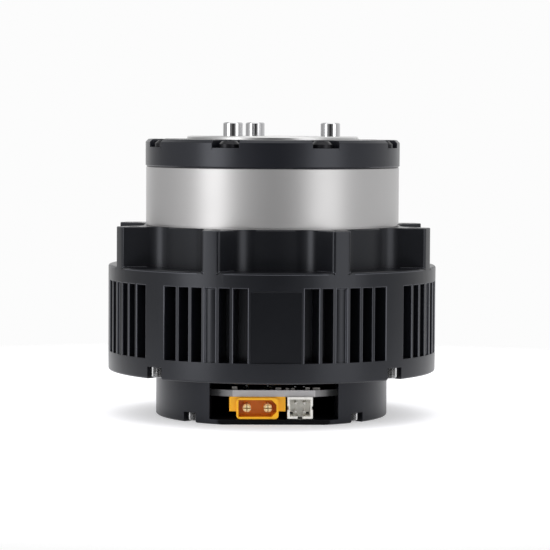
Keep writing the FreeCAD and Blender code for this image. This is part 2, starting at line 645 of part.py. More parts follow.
cap_long = CAP_TOP - CAP_NOTCH_DEPTH - (RING_FOOT - CAP_TAP_DEPTH + 0.6)
cap_bolt = cap_screw(CAP_HEAD_R, CAP_HEAD_H, M25_R, cap_long, CAP_SOCKET_R, CAP_SCREW_R,
                     CAP_TOP - CAP_NOTCH_DEPTH, False, CAP_HEAD_BEVEL)
save("front_cap_screws", group(around(cap_bolt, LUG_ANGLES)))

# --- output flange, dowels and screws ----------------------------------------
HUB_R = OUTPUT_BEARING[0]
FLANGE_UNDER = FLANGE_TOP - FLANGE_RIM_T
DOWEL_ANGLES = ring_angles(3, DOWEL_FIRST)
flange = revolved([(0.0, HUB_BOTTOM), (HUB_R, HUB_BOTTOM),
                   (HUB_R, OUTPUT_BEARING_Z + OUTPUT_BEARING[2]),
                   (HUB_R + 0.7, OUTPUT_BEARING_Z + OUTPUT_BEARING[2]),
                   (HUB_R + 0.7, FLANGE_UNDER), (FLANGE_R, FLANGE_UNDER),
                   (FLANGE_R, FLANGE_TOP - 0.3), (FLANGE_R - 0.3, FLANGE_TOP),
                   (0.0, FLANGE_TOP)])
flange_cuts = []
screw_r = FLANGE_SCREW_PCD / 2.0
for a in DOWEL_ANGLES:
    seat = cyl(DOWEL_SHANK_R, DOWEL_BOTTOM, FLANGE_TOP + 1, DOWEL_PCD / 2.0, 0)
    sink = Part.makeCone(DOWEL_SHANK_R, DOWEL_SEAT_R, 0.5, V(DOWEL_PCD / 2.0, 0, FLANGE_TOP - 0.5))
    flange_cuts += [turned(seat, a), turned(sink, a)]
    tap = cyl(TAP_R, FLANGE_TOP - TAP_DEPTH, FLANGE_TOP + 1, DOWEL_PCD / 2.0, 0)
    flange_cuts.append(turned(tap, a + 60))
FLANGE_SCREW_ANGLES = ring_angles(FLANGE_SCREW_COUNT, DOWEL_FIRST + 30)
for a in FLANGE_SCREW_ANGLES:
    sink = cyl(FLANGE_SINK_R, FLANGE_TOP - FLANGE_SINK_DEPTH, FLANGE_TOP + 1, screw_r, 0)
    flange_cuts.append(turned(sink, a))
    flange_cuts.append(turned(cyl(M3_CLEAR_R, HUB_BOTTOM - 1, FLANGE_TOP, screw_r, 0), a))
save("output_flange", flange.cut(flange_cuts))

dowel = revolved([(0.0, DOWEL_BOTTOM), (DOWEL_SHANK_R - 0.3, DOWEL_BOTTOM),
                  (DOWEL_SHANK_R, DOWEL_BOTTOM + 0.3), (DOWEL_SHANK_R, FLANGE_TOP),
                  (DOWEL_R, FLANGE_TOP), (DOWEL_R, DOWEL_TOP - DOWEL_BEVEL),
                  (DOWEL_R - DOWEL_BEVEL, DOWEL_TOP), (0.0, DOWEL_TOP)])
dowel = moved(dowel, DOWEL_PCD / 2.0, 0, 0)
save("dowel_pins", group(around(dowel, DOWEL_ANGLES)))

flange_screw = cap_screw(FLANGE_HEAD_R, FLANGE_HEAD_H, M3_R, FLANGE_SCREW_L, M3_SOCKET_R, screw_r,
                         FLANGE_TOP - FLANGE_SINK_DEPTH, False)
save("flange_screws", group(around(flange_screw, FLANGE_SCREW_ANGLES)))

# --- planet carrier, axles and washers ---------------------------------------
ORBIT_R = MODULE * (SUN_TEETH + PLANET_TEETH) / 2.0
PLANET_ANGLES = ring_angles(3, MESH_ANGLE)
HUB_LOW = CARRIER_BEARING_Z
HUB_HIGH = CARRIER_FOOT - CARRIER_STEP
carrier = revolved([(CARRIER_BORE_R, HUB_LOW), (CARRIER_BEARING[0], HUB_LOW), (CARRIER_BEARING[0], HUB_HIGH),
                    (CARRIER_BEARING[0] + 1.0, HUB_HIGH), (CARRIER_BEARING[0] + 1.0, CARRIER_FOOT),
                    (CARRIER_R, CARRIER_FOOT), (CARRIER_R, CARRIER_LOW), (CARRIER_BORE_R, CARRIER_LOW)])
carrier_top = tube(CARRIER_R, 4.6, CARRIER_HIGH, HUB_BOTTOM)
pillar = cyl(PILLAR_R, CARRIER_LOW - 0.5, CARRIER_HIGH + 0.5, PILLAR_ORBIT, 0)
carrier = carrier.fuse([carrier_top] + around(pillar, [a + 60 for a in PLANET_ANGLES]))
carrier_cuts = []
for a in PLANET_ANGLES:
    carrier_cuts.append(turned(cyl(AXLE_R, CARRIER_FOOT - 1, HUB_BOTTOM + 1, ORBIT_R, 0), a))
for a in FLANGE_SCREW_ANGLES:
    carrier_cuts.append(turned(cyl(M3_R, CARRIER_HIGH - 1, HUB_BOTTOM + 1, screw_r, 0), a))
save("planet_carrier", carrier.cut(carrier_cuts).removeSplitter())

axle = cyl(AXLE_R, CARRIER_FOOT + 0.2, HUB_BOTTOM - 0.2, ORBIT_R, 0)
save("planet_axles", group(around(axle, PLANET_ANGLES)))

washers = []
for z in (CARRIER_LOW, CARRIER_HIGH - WASHER_T):
    washer = cyl(WASHER_R, z, z + WASHER_T, ORBIT_R, 0)
    washer = washer.cut(cyl(AXLE_R, z - 1, z + 1, ORBIT_R, 0))
    washers += around(washer, PLANET_ANGLES)
save("thrust_washers", group(washers))

# --- planet gears and bushes -------------------------------------------------
for number, a in enumerate(PLANET_ANGLES):
    # a tooth of every planet points straight out into a ring tooth space
    gear = external_gear(PLANET_TEETH, GEAR_BOTTOM, GEAR_TOP, BUSH_R, a)
    bush = tube(BUSH_R, AXLE_R + RUNNING, GEAR_BOTTOM, GEAR_TOP)
    at = polar(ORBIT_R, a)
    save("planet_gear_%d" % (number + 1), moved(gear, at.x, at.y, 0))
    save("planet_bush_%d" % (number + 1), moved(bush, at.x, at.y, 0))

# --- sun gear and rotor ------------------------------------------------------
SHAFT_R = ROTOR_BEARING[0]
SHAFT_TOP = UPPER_BEARING_Z + ROTOR_BEARING[2] + 0.4
sun = external_gear(SUN_TEETH, GEAR_BOTTOM - 0.2, GEAR_TOP + 0.2, 0, MESH_ANGLE)
sun = sun.fuse([cyl(3.7, SHAFT_TOP, GEAR_BOTTOM), cyl(SUN_STUB_R, SHAFT_TOP - 10, SHAFT_TOP + 0.5)])
save("sun_gear", sun.removeSplitter())

disc_low = ROTOR_BOTTOM + ROTOR_DISC_LIFT
disc_high = disc_low + ROTOR_DISC_T
shaft = revolved([(0.0, SHAFT_BOTTOM), (SHAFT_R, SHAFT_BOTTOM), (SHAFT_R, LOWER_SEAT_TOP),
                  (SHAFT_SHOULDER_R, LOWER_SEAT_TOP), (SHAFT_SHOULDER_R, disc_low),
                  (ROTOR_RIM_R, disc_low), (ROTOR_RIM_R, ROTOR_BOTTOM + 0.5),
                  (ROTOR_CORE_BORE_R, ROTOR_BOTTOM + 0.5), (ROTOR_CORE_BORE_R, ROTOR_TOP - 0.5),
                  (ROTOR_RIM_R, ROTOR_TOP - 0.5), (ROTOR_RIM_R, disc_high),
                  (SHAFT_SHOULDER_R, disc_high), (SHAFT_SHOULDER_R, UPPER_BEARING_Z),
                  (SHAFT_R, UPPER_BEARING_Z), (SHAFT_R, SHAFT_TOP), (0.0, SHAFT_TOP)])
shaft_cuts = [cyl(SUN_STUB_R, SHAFT_TOP - 10.5, SHAFT_TOP + 1),
              cyl(ENCODER_MAGNET_R, SHAFT_BOTTOM - 1, SHAFT_BOTTOM + 2.0)]
for a in ring_angles(6):
    hole = cyl(LIGHTENING_R, disc_low - 1, disc_high + 1, LIGHTENING_ORBIT, 0)
    shaft_cuts.append(turned(hole, a))
save("rotor_hub", shaft.cut(shaft_cuts))
save("rotor_core", tube(ROTOR_CORE_R, ROTOR_CORE_BORE_R, ROTOR_BOTTOM, ROTOR_TOP))

magnet_gap = 0.9
magnet_ring = tube(MAGNET_R, ROTOR_CORE_R, ROTOR_BOTTOM, ROTOR_TOP)
spokes = around(box(ROTOR_CORE_R - 2, MAGNET_R + 1, -magnet_gap / 2, magnet_gap / 2,
                    ROTOR_BOTTOM - 1, ROTOR_TOP + 1), ring_angles(ROTOR_POLES))
save("rotor_magnets", group(magnet_ring.cut(spokes).Solids))

encoder_magnet = cyl(ENCODER_MAGNET_R, SHAFT_BOTTOM + 2.0 - ENCODER_MAGNET_H, SHAFT_BOTTOM + 2.0)
save("encoder_magnet", encoder_magnet)

# --- stator ------------------------------------------------------------------
stator = tube(BORE_R, STATOR_YOKE_R, STACK_BOTTOM, STACK_TOP)
tooth_tip = tube(TOOTH_TIP_R, STATOR_BORE_R, STACK_BOTTOM, STACK_TOP)
tip_zone = box(STATOR_BORE_R - 2, TOOTH_TIP_R + 1, -TOOTH_TIP_W / 2, TOOTH_TIP_W / 2,
               STACK_BOTTOM - 1, STACK_TOP + 1)
tip = tooth_tip.common(tip_zone)
tooth = box(TOOTH_TIP_R - 0.6, STATOR_YOKE_R + 0.5, -TOOTH_W / 2, TOOTH_W / 2, STACK_BOTTOM, STACK_TOP)
tooth = tooth.fuse(tip)
SLOT_ANGLES = ring_angles(STATOR_SLOTS)
save("stator_core", stator.fuse(around(tooth, SLOT_ANGLES)).removeSplitter())

coil_in = TOOTH_TIP_R + 0.15
coil_out = STATOR_YOKE_R - 0.25
coil_w = TOOTH_W / 2 + 1.35
coil = box(coil_in, coil_out, -coil_w, coil_w, STACK_BOTTOM - COIL_BULGE, STACK_TOP + COIL_BULGE)
upright = [e for e in coil.Edges if abs(e.Vertexes[0].X - e.Vertexes[1].X) > 1]
coil = coil.makeFillet(1.2, upright)
coil = coil.cut(box(coil_in - 1, coil_out + 1, -TOOTH_W / 2 - 0.05, TOOTH_W / 2 + 0.05,
                    STACK_BOTTOM - 0.1, STACK_TOP + 0.1))
save("stator_coils", group(around(coil, SLOT_ANGLES)))

# --- phase leads from the coils down to the board ----------------------------
leads = []
for a in LEAD_ANGLES:
    p = polar(LEAD_ORBIT, a)
    leads.append(cyl(LEAD_R, BOARD_BOTTOM + BOARD_T, STACK_BOTTOM - COIL_BULGE, p.x, p.y))
save("phase_leads", group(leads))

# --- driver board and what it carries ----------------------------------------
board = cyl(BOARD_R, BOARD_BOTTOM, BOARD_TOP)
board_cuts = [box(-BOARD_R, BOARD_R, -BOARD_R - 1, -BOARD_FLAT_Y, BOARD_BOTTOM - 1, BOARD_TOP + 1)]
board_cuts += around(cyl(COVER_BOSS_R + 0.5, 5, 10, BASE_SCREW_R - 1.0, 0), CORNERS)
for a in STANDOFF_ANGLES:
    p = polar(STANDOFF_ORBIT, a)
    board_cuts.append(cyl(M2_CLEAR_R, 5, 10, p.x, p.y))
board = board.cut(board_cuts)

standoffs = []
board_screws = []
for a in STANDOFF_ANGLES:
    p = polar(STANDOFF_ORBIT, a)
    hexagon = []
    for i in range(6):
        q = polar(STANDOFF_R, 60 * i)
        hexagon.append((p.x + q.x, p.y + q.y))
    stud = cyl(M2_R, BAND_BOTTOM - 0.5, BAND_BOTTOM + 2.5, p.x, p.y)
    standoff = prism(hexagon, BOARD_TOP, BAND_BOTTOM).fuse(stud)
    standoffs.append(standoff.cut(cyl(0.8, BOARD_TOP - 1, BOARD_TOP + 2, p.x, p.y)))
    screw = cap_screw(1.7, 1.1, 0.8, BOARD_T + 1.5, 0.75, STANDOFF_ORBIT, BOARD_BOTTOM, True)
    board_screws.append(turned(screw, a))
save("board_standoffs", group(standoffs))
save("board_screws", group(board_screws))

chips = [box(-4.5, 4.5, 4.5, 13.5, BOARD_TOP, BOARD_TOP + 1.0)]
row_back = BOARD_R - 6.3      # row of power transistors at the back of the board
for x in (-10.8, -5.4, 0.0, 5.4, 10.8):
    chips.append(box(x - 2.4, x + 2.4, row_back - 5.0, row_back, BOARD_TOP, BOARD_TOP + 1.0))
chips.append(box(-14.5, -9.5, -4.0, 1.0, BOARD_TOP, BOARD_TOP + 0.9))
chips.append(box(9.0, 13.0, -4.0, 0.0, BOARD_TOP, BOARD_TOP + 0.9))
save("board_chips", group(chips))
save("encoder_chip", box(-2.0, 2.0, -2.5, 2.5, BOARD_TOP, BOARD_TOP + 0.85))

capacitors = []
side_x = BOARD_R - 8.8
for x, y in ((-side_x, 5.5), (-side_x, 9.5), (side_x, 4.5), (side_x, 8.5)):
    capacitors.append(box(x - 1.6, x + 1.6, y - 1.3, y + 1.3, BOARD_TOP, BOARD_TOP + 1.6))
for x, w, h in ((-9.3, 1.2, 0.75), (1.1, 1.3, 0.5), (3.2, 0.8, 0.4), (4.5, 0.8, 0.4),
                (8.0, 1.0, 0.6), (10.1, 1.7, 0.55)):
    capacitors.append(box(x - w / 2, x + w / 2, 1.0 - BOARD_FLAT_Y, 1.8 - BOARD_FLAT_Y,
                          BOARD_TOP, BOARD_TOP + h))
save("board_capacitors", group(capacitors))

# --- power connector ---------------------------------------------------------
half_w = POWER_SHELL[0] / 2.0
shell_top = POWER_BOTTOM + POWER_SHELL[1]


def rounded_bar(width, height, radius, z0, y0, y1, centre_x):
    """Bar along Y with rounded corners in its cross-section."""
    bar = box(centre_x - width / 2, centre_x + width / 2, y0, y1, z0, z0 + height)
    along = [e for e in bar.Edges if abs(e.Vertexes[0].Y - e.Vertexes[1].Y) > 1]
    return bar.makeFillet(radius, along)


shell = rounded_bar(POWER_SHELL[0], POWER_SHELL[1], 0.9, POWER_BOTTOM, -POWER_FRONT, -POWER_BACK, POWER_X)
ears = box(POWER_X - POWER_EAR_W / 2, POWER_X + POWER_EAR_W / 2, -POWER_EAR_FRONT, -POWER_BACK,
           POWER_EAR_BOTTOM, BOARD_BOTTOM)
cavity_x0 = POWER_X - half_w + POWER_WALL
cavity_x1 = POWER_X + half_w - POWER_WALL
cavity_z0 = POWER_BOTTOM + POWER_WALL
cavity_z1 = shell_top - POWER_WALL
outline = [(cavity_x0, cavity_z0), (cavity_x1 - POWER_CORNER, cavity_z0),
           (cavity_x1, cavity_z0 + POWER_CORNER), (cavity_x1, cavity_z1 - POWER_CORNER),
           (cavity_x1 - POWER_CORNER, cavity_z1), (cavity_x0, cavity_z1)]
corners = [V(x, -POWER_FRONT - 1, z) for x, z in outline]
cavity = Part.Face(Part.makePolygon(corners + [corners[0]])).extrude(V(0, POWER_CAVITY, 0))
power_body = shell.fuse(ears).cut(cavity)
pin_z = POWER_BOTTOM + POWER_SHELL[1] / 2.0
pins = []
for x in (POWER_X - POWER_PITCH / 2, POWER_X + POWER_PITCH / 2):
    pin = Part.makeCylinder(POWER_PIN_R, POWER_CAVITY, V(x, -POWER_FRONT + 0.6, pin_z), V(0, 1, 0))
    rim = [e for e in pin.Edges if e.Closed and abs(e.Vertexes[0].Y + POWER_FRONT - 0.6) < 0.01]
    pin = pin.makeChamfer(0.35, rim)
    pin = pin.cut([box(x - 0.13, x + 0.13, -POWER_FRONT, -POWER_FRONT + 4.0, pin_z - 2, pin_z + 2),
                   box(x - 2, x + 2, -POWER_FRONT, -POWER_FRONT + 4.0, pin_z - 0.13, pin_z + 0.13)])
    tail = box(x - 0.6, x + 0.6, -POWER_BACK - 1.2, -POWER_BACK - 0.6, pin_z, BOARD_TOP + TAIL_PROUD)
    pins.append(pin.fuse(tail))
save("power_connector_body", power_body.cut(pins).removeSplitter())
save("power_connector_pins", group(pins))

# --- signal connector --------------------------------------------------------
sig_w, sig_h = SIGNAL_SIZE
sig_z0 = BOARD_BOTTOM - sig_h
sig_x0 = SIGNAL_X - sig_w / 2
sig_x1 = SIGNAL_X + sig_w / 2
signal = box(sig_x0, sig_x1, -SIGNAL_FRONT, -SIGNAL_BACK, sig_z0, BOARD_BOTTOM)
signal = signal.cut([
    box(sig_x0 + SIGNAL_WALL, sig_x1 - SIGNAL_WALL, -SIGNAL_FRONT - 1, -SIGNAL_FRONT + 4.6,
        sig_z0 + SIGNAL_WALL, sig_z0 + sig_h - SIGNAL_WALL),
    box(SIGNAL_X - 0.6, SIGNAL_X + 0.6, -SIGNAL_FRONT - 1, -SIGNAL_FRONT + 3.5, sig_z0 - 1, sig_z0 + 1),
    box(sig_x0 + 0.7, sig_x0 + 1.45, -SIGNAL_FRONT - 1, -SIGNAL_BACK + 1, sig_z0 + SIGNAL_WALL,
        sig_z0 + 1.15),
    box(sig_x1 - 1.45, sig_x1 - 0.7, -SIGNAL_FRONT - 1, -SIGNAL_BACK + 1, sig_z0 + SIGNAL_WALL,
        sig_z0 + 1.15),
    box(sig_x0 - 1, sig_x0 + 0.3, -SIGNAL_FRONT - 1, -SIGNAL_FRONT + 3.0, sig_z0 + 2.1, sig_z0 + 3.0),
    box(sig_x1 - 0.3, sig_x1 + 1, -SIGNAL_FRONT - 1, -SIGNAL_FRONT + 3.0, sig_z0 + 2.1, sig_z0 + 3.0)])
signal_pins = []
sig_mid = sig_z0 + sig_h / 2
for x in (SIGNAL_X - SIGNAL_PITCH / 2, SIGNAL_X + SIGNAL_PITCH / 2):
    for row, z in enumerate((sig_mid - SIGNAL_PITCH / 2, sig_mid + SIGNAL_PITCH / 2)):
        s = SIGNAL_PIN / 2
        y_tail = -SIGNAL_BACK - 0.6 - 1.2 * row
        pin = box(x - s, x + s, -SIGNAL_FRONT + 1.0, y_tail, z - s, z + s)
        tail = box(x - s, x + s, y_tail - 2 * s, y_tail, z - s, BOARD_TOP + TAIL_PROUD)
        signal_pins.append(pin.fuse(tail).removeSplitter())
save("signal_connector_body", signal.cut(signal_pins))
save("signal_connector_pins", group(signal_pins))
save("driver_board", board.cut(pins + signal_pins))

# --- bearings ----------------------------------------------------------------
outer, inner, rollers = bearing(OUTPUT_BEARING, OUTPUT_BEARING_Z, OUTPUT_ROLLERS, "roller")
save("output_bearing_outer", outer)
save("output_bearing_inner", inner)
save("output_bearing_rollers", rollers)
outer, inner, balls = bearing(CARRIER_BEARING, CARRIER_BEARING_Z, CARRIER_BALLS, "ball")
save("carrier_bearing_outer", outer)
save("carrier_bearing_inner", inner)
save("carrier_bearing_balls", balls)
outers = []
inners = []
ball_sets = []
for z in (LOWER_BEARING_Z, UPPER_BEARING_Z):
    outer, inner, balls = bearing(ROTOR_BEARING, z, ROTOR_BALLS, "ball")
    outers.append(outer)
    inners.append(inner)
    ball_sets += balls.Solids
save("rotor_bearing_outers", group(outers))
save("rotor_bearing_inners", group(inners))
save("rotor_bearing_balls", group(ball_sets))
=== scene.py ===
# %% [markdown]
# # A robot joint actuator
# A round motor with cooling fins carries a planetary gear stage on top and its driver
# board in the base.  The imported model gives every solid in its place, so this lesson
# adds what a camera sees: finishes, deburred edges, knurled screws, threads and light.

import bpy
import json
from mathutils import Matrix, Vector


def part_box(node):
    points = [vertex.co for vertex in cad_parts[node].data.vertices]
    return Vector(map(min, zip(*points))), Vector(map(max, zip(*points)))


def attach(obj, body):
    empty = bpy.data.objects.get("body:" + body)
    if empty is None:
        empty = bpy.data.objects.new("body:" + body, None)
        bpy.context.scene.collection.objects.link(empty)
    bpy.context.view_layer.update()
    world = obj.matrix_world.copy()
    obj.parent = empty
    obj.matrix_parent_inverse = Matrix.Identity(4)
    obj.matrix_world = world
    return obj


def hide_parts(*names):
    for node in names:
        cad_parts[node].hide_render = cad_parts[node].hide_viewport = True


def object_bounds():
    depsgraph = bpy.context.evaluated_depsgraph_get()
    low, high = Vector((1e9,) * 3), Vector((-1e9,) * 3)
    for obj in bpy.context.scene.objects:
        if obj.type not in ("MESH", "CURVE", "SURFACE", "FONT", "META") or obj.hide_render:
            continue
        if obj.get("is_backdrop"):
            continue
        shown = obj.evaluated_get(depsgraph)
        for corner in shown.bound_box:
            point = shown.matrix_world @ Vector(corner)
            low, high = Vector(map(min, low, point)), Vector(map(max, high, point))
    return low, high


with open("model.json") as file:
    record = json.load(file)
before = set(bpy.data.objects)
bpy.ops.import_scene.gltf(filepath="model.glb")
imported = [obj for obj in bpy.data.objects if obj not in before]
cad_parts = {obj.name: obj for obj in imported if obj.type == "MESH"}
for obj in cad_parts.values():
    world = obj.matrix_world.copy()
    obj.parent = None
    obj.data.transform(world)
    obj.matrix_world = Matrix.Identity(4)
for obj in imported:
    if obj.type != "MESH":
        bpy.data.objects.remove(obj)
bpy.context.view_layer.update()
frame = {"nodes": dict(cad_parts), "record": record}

# %% [markdown]
# ## Small helpers
# Colours are written as the hex values that a paint chart gives.  Cycles adds light, so
# it wants linear values, and one function turns the first into the second.  A second
# function adds one shader node, with its settings, socket values and links, so that a
# whole material stays short enough to read at a glance.

# %% Helpers
import json
import math
import bmesh
import bpy
import numpy as np
from mathutils import Matrix, Vector

MM = 0.001
TURN = 2.0 * math.pi


def linear(hex_colour):
    """sRGB hex to linear: values up to 0.04045 are divided by 12.92, and for the others
    (value + 0.055) / 1.055 is raised to 2.4.
    """
    parts = np.array([int(hex_colour[i:i + 2], 16) for i in (1, 3, 5)]) / 255.0
    curve = np.where(parts <= 0.04045, parts / 12.92, ((parts + 0.055) / 1.055) ** 2.4)
    return (*curve.tolist(), 1.0)


def put(tree, kind, values=None, links=None, **settings):
    """Adds a node of one kind, with settings, socket values and links from other sockets."""
    made = tree.nodes.new(kind)
    for name, value in settings.items():
        setattr(made, name, value)
    for name, value in (values or {}).items():
        made.inputs[name].default_value = value
    for name, source in (links or {}).items():
        tree.links.new(source, made.inputs[name])
    return made


print("the grey #808080 is", round(linear("#808080")[0], 3), "in linear light")

# %% [markdown]
# ## The camera
# A long lens from a little above the band keeps the object's sides nearly parallel.  A
# camera could be turned by hand, but here its place and its turn are worked out from an
# azimuth, a height, a pitch and a very small roll, so each can be changed by itself.
# The lens sits slightly to one side of the middle.

# %% Camera
AZIMUTH = math.radians(-1.5)
PITCH = 0.058  # radians below the horizon
ROLL = 0.0056  # radians
DISTANCE = 639.38 * MM
HEIGHT = 71.12 * MM
SENSOR_WIDTH = 36.0  # mm
FOCAL_LENGTH = 171.02  # mm
LENS_SHIFT = 0.00546  # share of the frame's width
side = Vector((math.cos(AZIMUTH), math.sin(AZIMUTH), 0.0))
ahead = Vector((-math.sin(AZIMUTH) * math.cos(PITCH), math.cos(AZIMUTH) * math.cos(PITCH),
                -math.sin(PITCH)))
above = side.cross(ahead)
camera_x = side * math.cos(ROLL) + above * math.sin(ROLL)
camera_y = above * math.cos(ROLL) - side * math.sin(ROLL)
lens = bpy.data.cameras.new("studio_camera")
lens.sensor_width = SENSOR_WIDTH
lens.lens = FOCAL_LENGTH
lens.shift_x = LENS_SHIFT
lens.clip_start = 50.0 * MM
camera = bpy.data.objects.new("studio_camera", lens)
axes = Matrix((camera_x, camera_y, -ahead)).transposed().to_4x4()
stand = Matrix.Translation((DISTANCE * math.sin(AZIMUTH), -DISTANCE * math.cos(AZIMUTH), HEIGHT))
camera.matrix_world = stand @ axes
bpy.context.scene.collection.objects.link(camera)
bpy.context.scene.camera = camera
print("camera at", [round(c, 4) for c in camera.matrix_world.translation])

# %% [markdown]
# ## The room
# Product studios use a white backdrop, two tall softboxes and a dimmer room behind the
# camera, and metal shows all of that.  The room could be built of walls, but a world
# that is a ring of grey levels by compass direction does the same and blocks no lamp:
# white behind the object, dim in front.  Only gloss sees the ring.  Matt surfaces get
# one even light, and camera rays see plain white.

# %% World
EVEN_LIGHT = 1.10
# compass position and grey: 0.25 is the camera's side, 0.5 the right, 0.75 the backdrop
# and 0 or 1 the left
ROOM_RING = [(0.00, 0.60), (0.10, 0.50), (0.17, 0.30), (0.21, 0.14), (0.24, 0.03), (0.26, 0.03),
             (0.29, 0.14), (0.33, 0.30), (0.40, 0.50), (0.50, 0.60), (0.62, 0.80), (0.75, 1.0),
             (0.81, 1.0), (0.86, 0.60), (0.90, 0.44), (0.95, 0.44), (1.0, 0.56)]
world = bpy.data.worlds.new("studio")
world.use_nodes = True
sky = world.node_tree
sky.nodes.clear()
heading = put(sky, "ShaderNodeTexCoord").outputs["Generated"]
compass = put(sky, "ShaderNodeTexGradient", links={"Vector": heading}, gradient_type="RADIAL")
room = put(sky, "ShaderNodeValToRGB", links={"Fac": compass.outputs["Fac"]})
stops = room.color_ramp.elements
while len(stops) < len(ROOM_RING):
    stops.new(0.5)
for stop, (position, grey) in zip(stops, ROOM_RING):
    stop.position = position
    stop.color = (grey, grey, grey, 1.0)
room_light = put(sky, "ShaderNodeBackground", {"Strength": 1.0}, {"Color": room.outputs["Color"]})
even_light = put(sky, "ShaderNodeBackground", {"Color": linear("#FFFFFF"), "Strength": EVEN_LIGHT})
backdrop = put(sky, "ShaderNodeBackground", {"Color": linear("#FCFCFC"), "Strength": 1.0})
ray = put(sky, "ShaderNodeLightPath").outputs
gloss = put(sky, "ShaderNodeMath", links={0: ray["Is Glossy Ray"], 1: ray["Is Transmission Ray"]},
            operation="ADD", use_clamp=True)
mirrored = put(sky, "ShaderNodeMixShader",
               links={0: gloss.outputs[0], 1: even_light.outputs[0], 2: room_light.outputs[0]})
shown = put(sky, "ShaderNodeMixShader",
            links={0: ray["Is Camera Ray"], 1: mirrored.outputs[0], 2: backdrop.outputs[0]})
put(sky, "ShaderNodeOutputWorld", links={"Surface": shown.outputs[0]})
bpy.context.scene.world = world
print("room ring of", len(ROOM_RING), "greys, even light", EVEN_LIGHT)

# %% [markdown]
# ## Softboxes
# A softbox is a cloth-fronted lamp that gives a broad, soft-edged highlight.  A glowing
# sheet would do, but an area lamp gives less noise for the same light.  The two at the
# sides draw the pale bands on the steel ring, and a weak one overhead lights the tops.

# %% Softboxes
LEFT_BOX = 54.0  # degrees from the camera
RIGHT_BOX = 46.0
MIDDLE = Vector((0.0, 0.0, 0.036))  # half way up the object, in metres


def softbox(name, azimuth, elevation, distance, width, height, radiance):
    """An area lamp on a sphere round the object, facing its middle.

    A lamp's power is its radiance times pi times its area.
    """
    lamp = bpy.data.lights.new(name, "AREA")
    lamp.shape = "RECTANGLE"
    lamp.size = width
    lamp.size_y = height
    lamp.energy = radiance * math.pi * width * height
    a, e = math.radians(azimuth), math.radians(elevation)
    away = Vector((math.sin(a) * math.cos(e), -math.cos(a) * math.cos(e), math.sin(e)))
    holder = bpy.data.objects.new(name, lamp)
    holder.location = MIDDLE + away * distance
    holder.rotation_mode = "QUATERNION"
    holder.rotation_quaternion = away.to_track_quat("Z", "Y")
    holder.visible_camera = False
    bpy.context.scene.collection.objects.link(holder)


softbox("softbox_left", azimuth=-LEFT_BOX, elevation=6, distance=0.95,
        width=0.40, height=1.10, radiance=2.7)
softbox("softbox_right", azimuth=RIGHT_BOX, elevation=6, distance=0.95,
        width=0.52, height=1.10, radiance=1.6)
softbox("softbox_top", azimuth=0, elevation=82, distance=0.90,
        width=0.90, height=0.70, radiance=0.75)
print("softboxes at", -LEFT_BOX, RIGHT_BOX, "degrees and overhead")

# %% [markdown]
# ## The floor
# The floor is matt white paper.  A big square plane would show its edge against the
# backdrop, so this round sheet is opaque near the object, where it takes the shadow,
# and fades out further off.

# %% Floor sheet
FLOOR_CORE = 0.05  # metres from the axis, as the two below
FLOOR_CLEAR = 0.11
FLOOR_END = 0.21
FLOOR_LEVEL = -0.00004  # a hair below the base, so that the two faces never coincide
FLOOR_SIDES = 96
steps = np.linspace(0.0, TURN, FLOOR_SIDES, endpoint=False)
rings = np.array([FLOOR_CORE, FLOOR_CLEAR, FLOOR_END])
floor_points = np.stack([np.outer(rings, np.cos(steps)).ravel(),
                         np.outer(rings, np.sin(steps)).ravel(),
                         np.full(len(rings) * FLOOR_SIDES, FLOOR_LEVEL)], axis=1)
floor_points = np.vstack([floor_points, [[0.0, 0.0, FLOOR_LEVEL]]])
here = np.arange(FLOOR_SIDES)
after = (here + 1) % FLOOR_SIDES
floor_faces = [[len(floor_points) - 1, a, b] for a, b in zip(here.tolist(), after.tolist())]
for ring in range(len(rings) - 1):
    low, high = ring * FLOOR_SIDES, (ring + 1) * FLOOR_SIDES
    floor_faces += np.stack([low + here, high + here, high + after, low + after], axis=1).tolist()
floor_mesh = bpy.data.meshes.new("floor")
floor_mesh.from_pydata(floor_points.tolist(), [], floor_faces)
floor = bpy.data.objects.new("floor", floor_mesh)
bpy.context.scene.collection.objects.link(floor)
floor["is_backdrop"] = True
print("floor of", len(floor_faces), "faces")

# %% [markdown]
# ## The floor's paper
# Matt paper scatters light evenly, so a diffuse shader is all it needs.  A little light
# of its own lifts it to the backdrop's white.

# %% Floor paper
PAPER_GLOW = 0.35
paper = bpy.data.materials.new("matt_white_paper")
paper.use_nodes = True
sheet = paper.node_tree
sheet.nodes.clear()
spot = put(sheet, "ShaderNodeTexCoord").outputs["Object"]
distance = put(sheet, "ShaderNodeVectorMath", links={0: spot}, operation="LENGTH")
fade = put(sheet, "ShaderNodeMapRange",
           {"From Min": FLOOR_CLEAR, "From Max": FLOOR_END, "To Min": 1.0, "To Max": 0.0},
           {"Value": distance.outputs["Value"]})
matt = put(sheet, "ShaderNodeBsdfDiffuse", {"Color": linear("#E8E8EB")})
glow = put(sheet, "ShaderNodeEmission", {"Color": linear("#FFFFFF"), "Strength": PAPER_GLOW})
lit = put(sheet, "ShaderNodeAddShader", links={0: matt.outputs[0], 1: glow.outputs[0]})
clear = put(sheet, "ShaderNodeBsdfTransparent")
paper_mix = put(sheet, "ShaderNodeMixShader",
                links={0: fade.outputs["Result"], 1: clear.outputs[0], 2: lit.outputs[0]})
put(sheet, "ShaderNodeOutputMaterial", links={"Surface": paper_mix.outputs[0]})
floor_mesh.materials.append(paper)
print("floor fades from", FLOOR_CLEAR, "to", FLOOR_END, "m")

# %% [markdown]
# ## Patterns and edges of a finish
# A surface carries marks of how it was made: grains all over where it was blasted or
# moulded, rings where it was turned.  Pictures could be wrapped round the pieces, but
# noise in the object's own metres has no seams and keeps its real size.  On a turned
# part the noise depends on the distance from the axis and on the height alone, so it
# runs round as grooves do.

# %% Patterns and edges
TURNED = "turned"
GRAINY = "grainy"
SIDEWAYS = 0.25  # a face looks sideways where its normal's height is under this
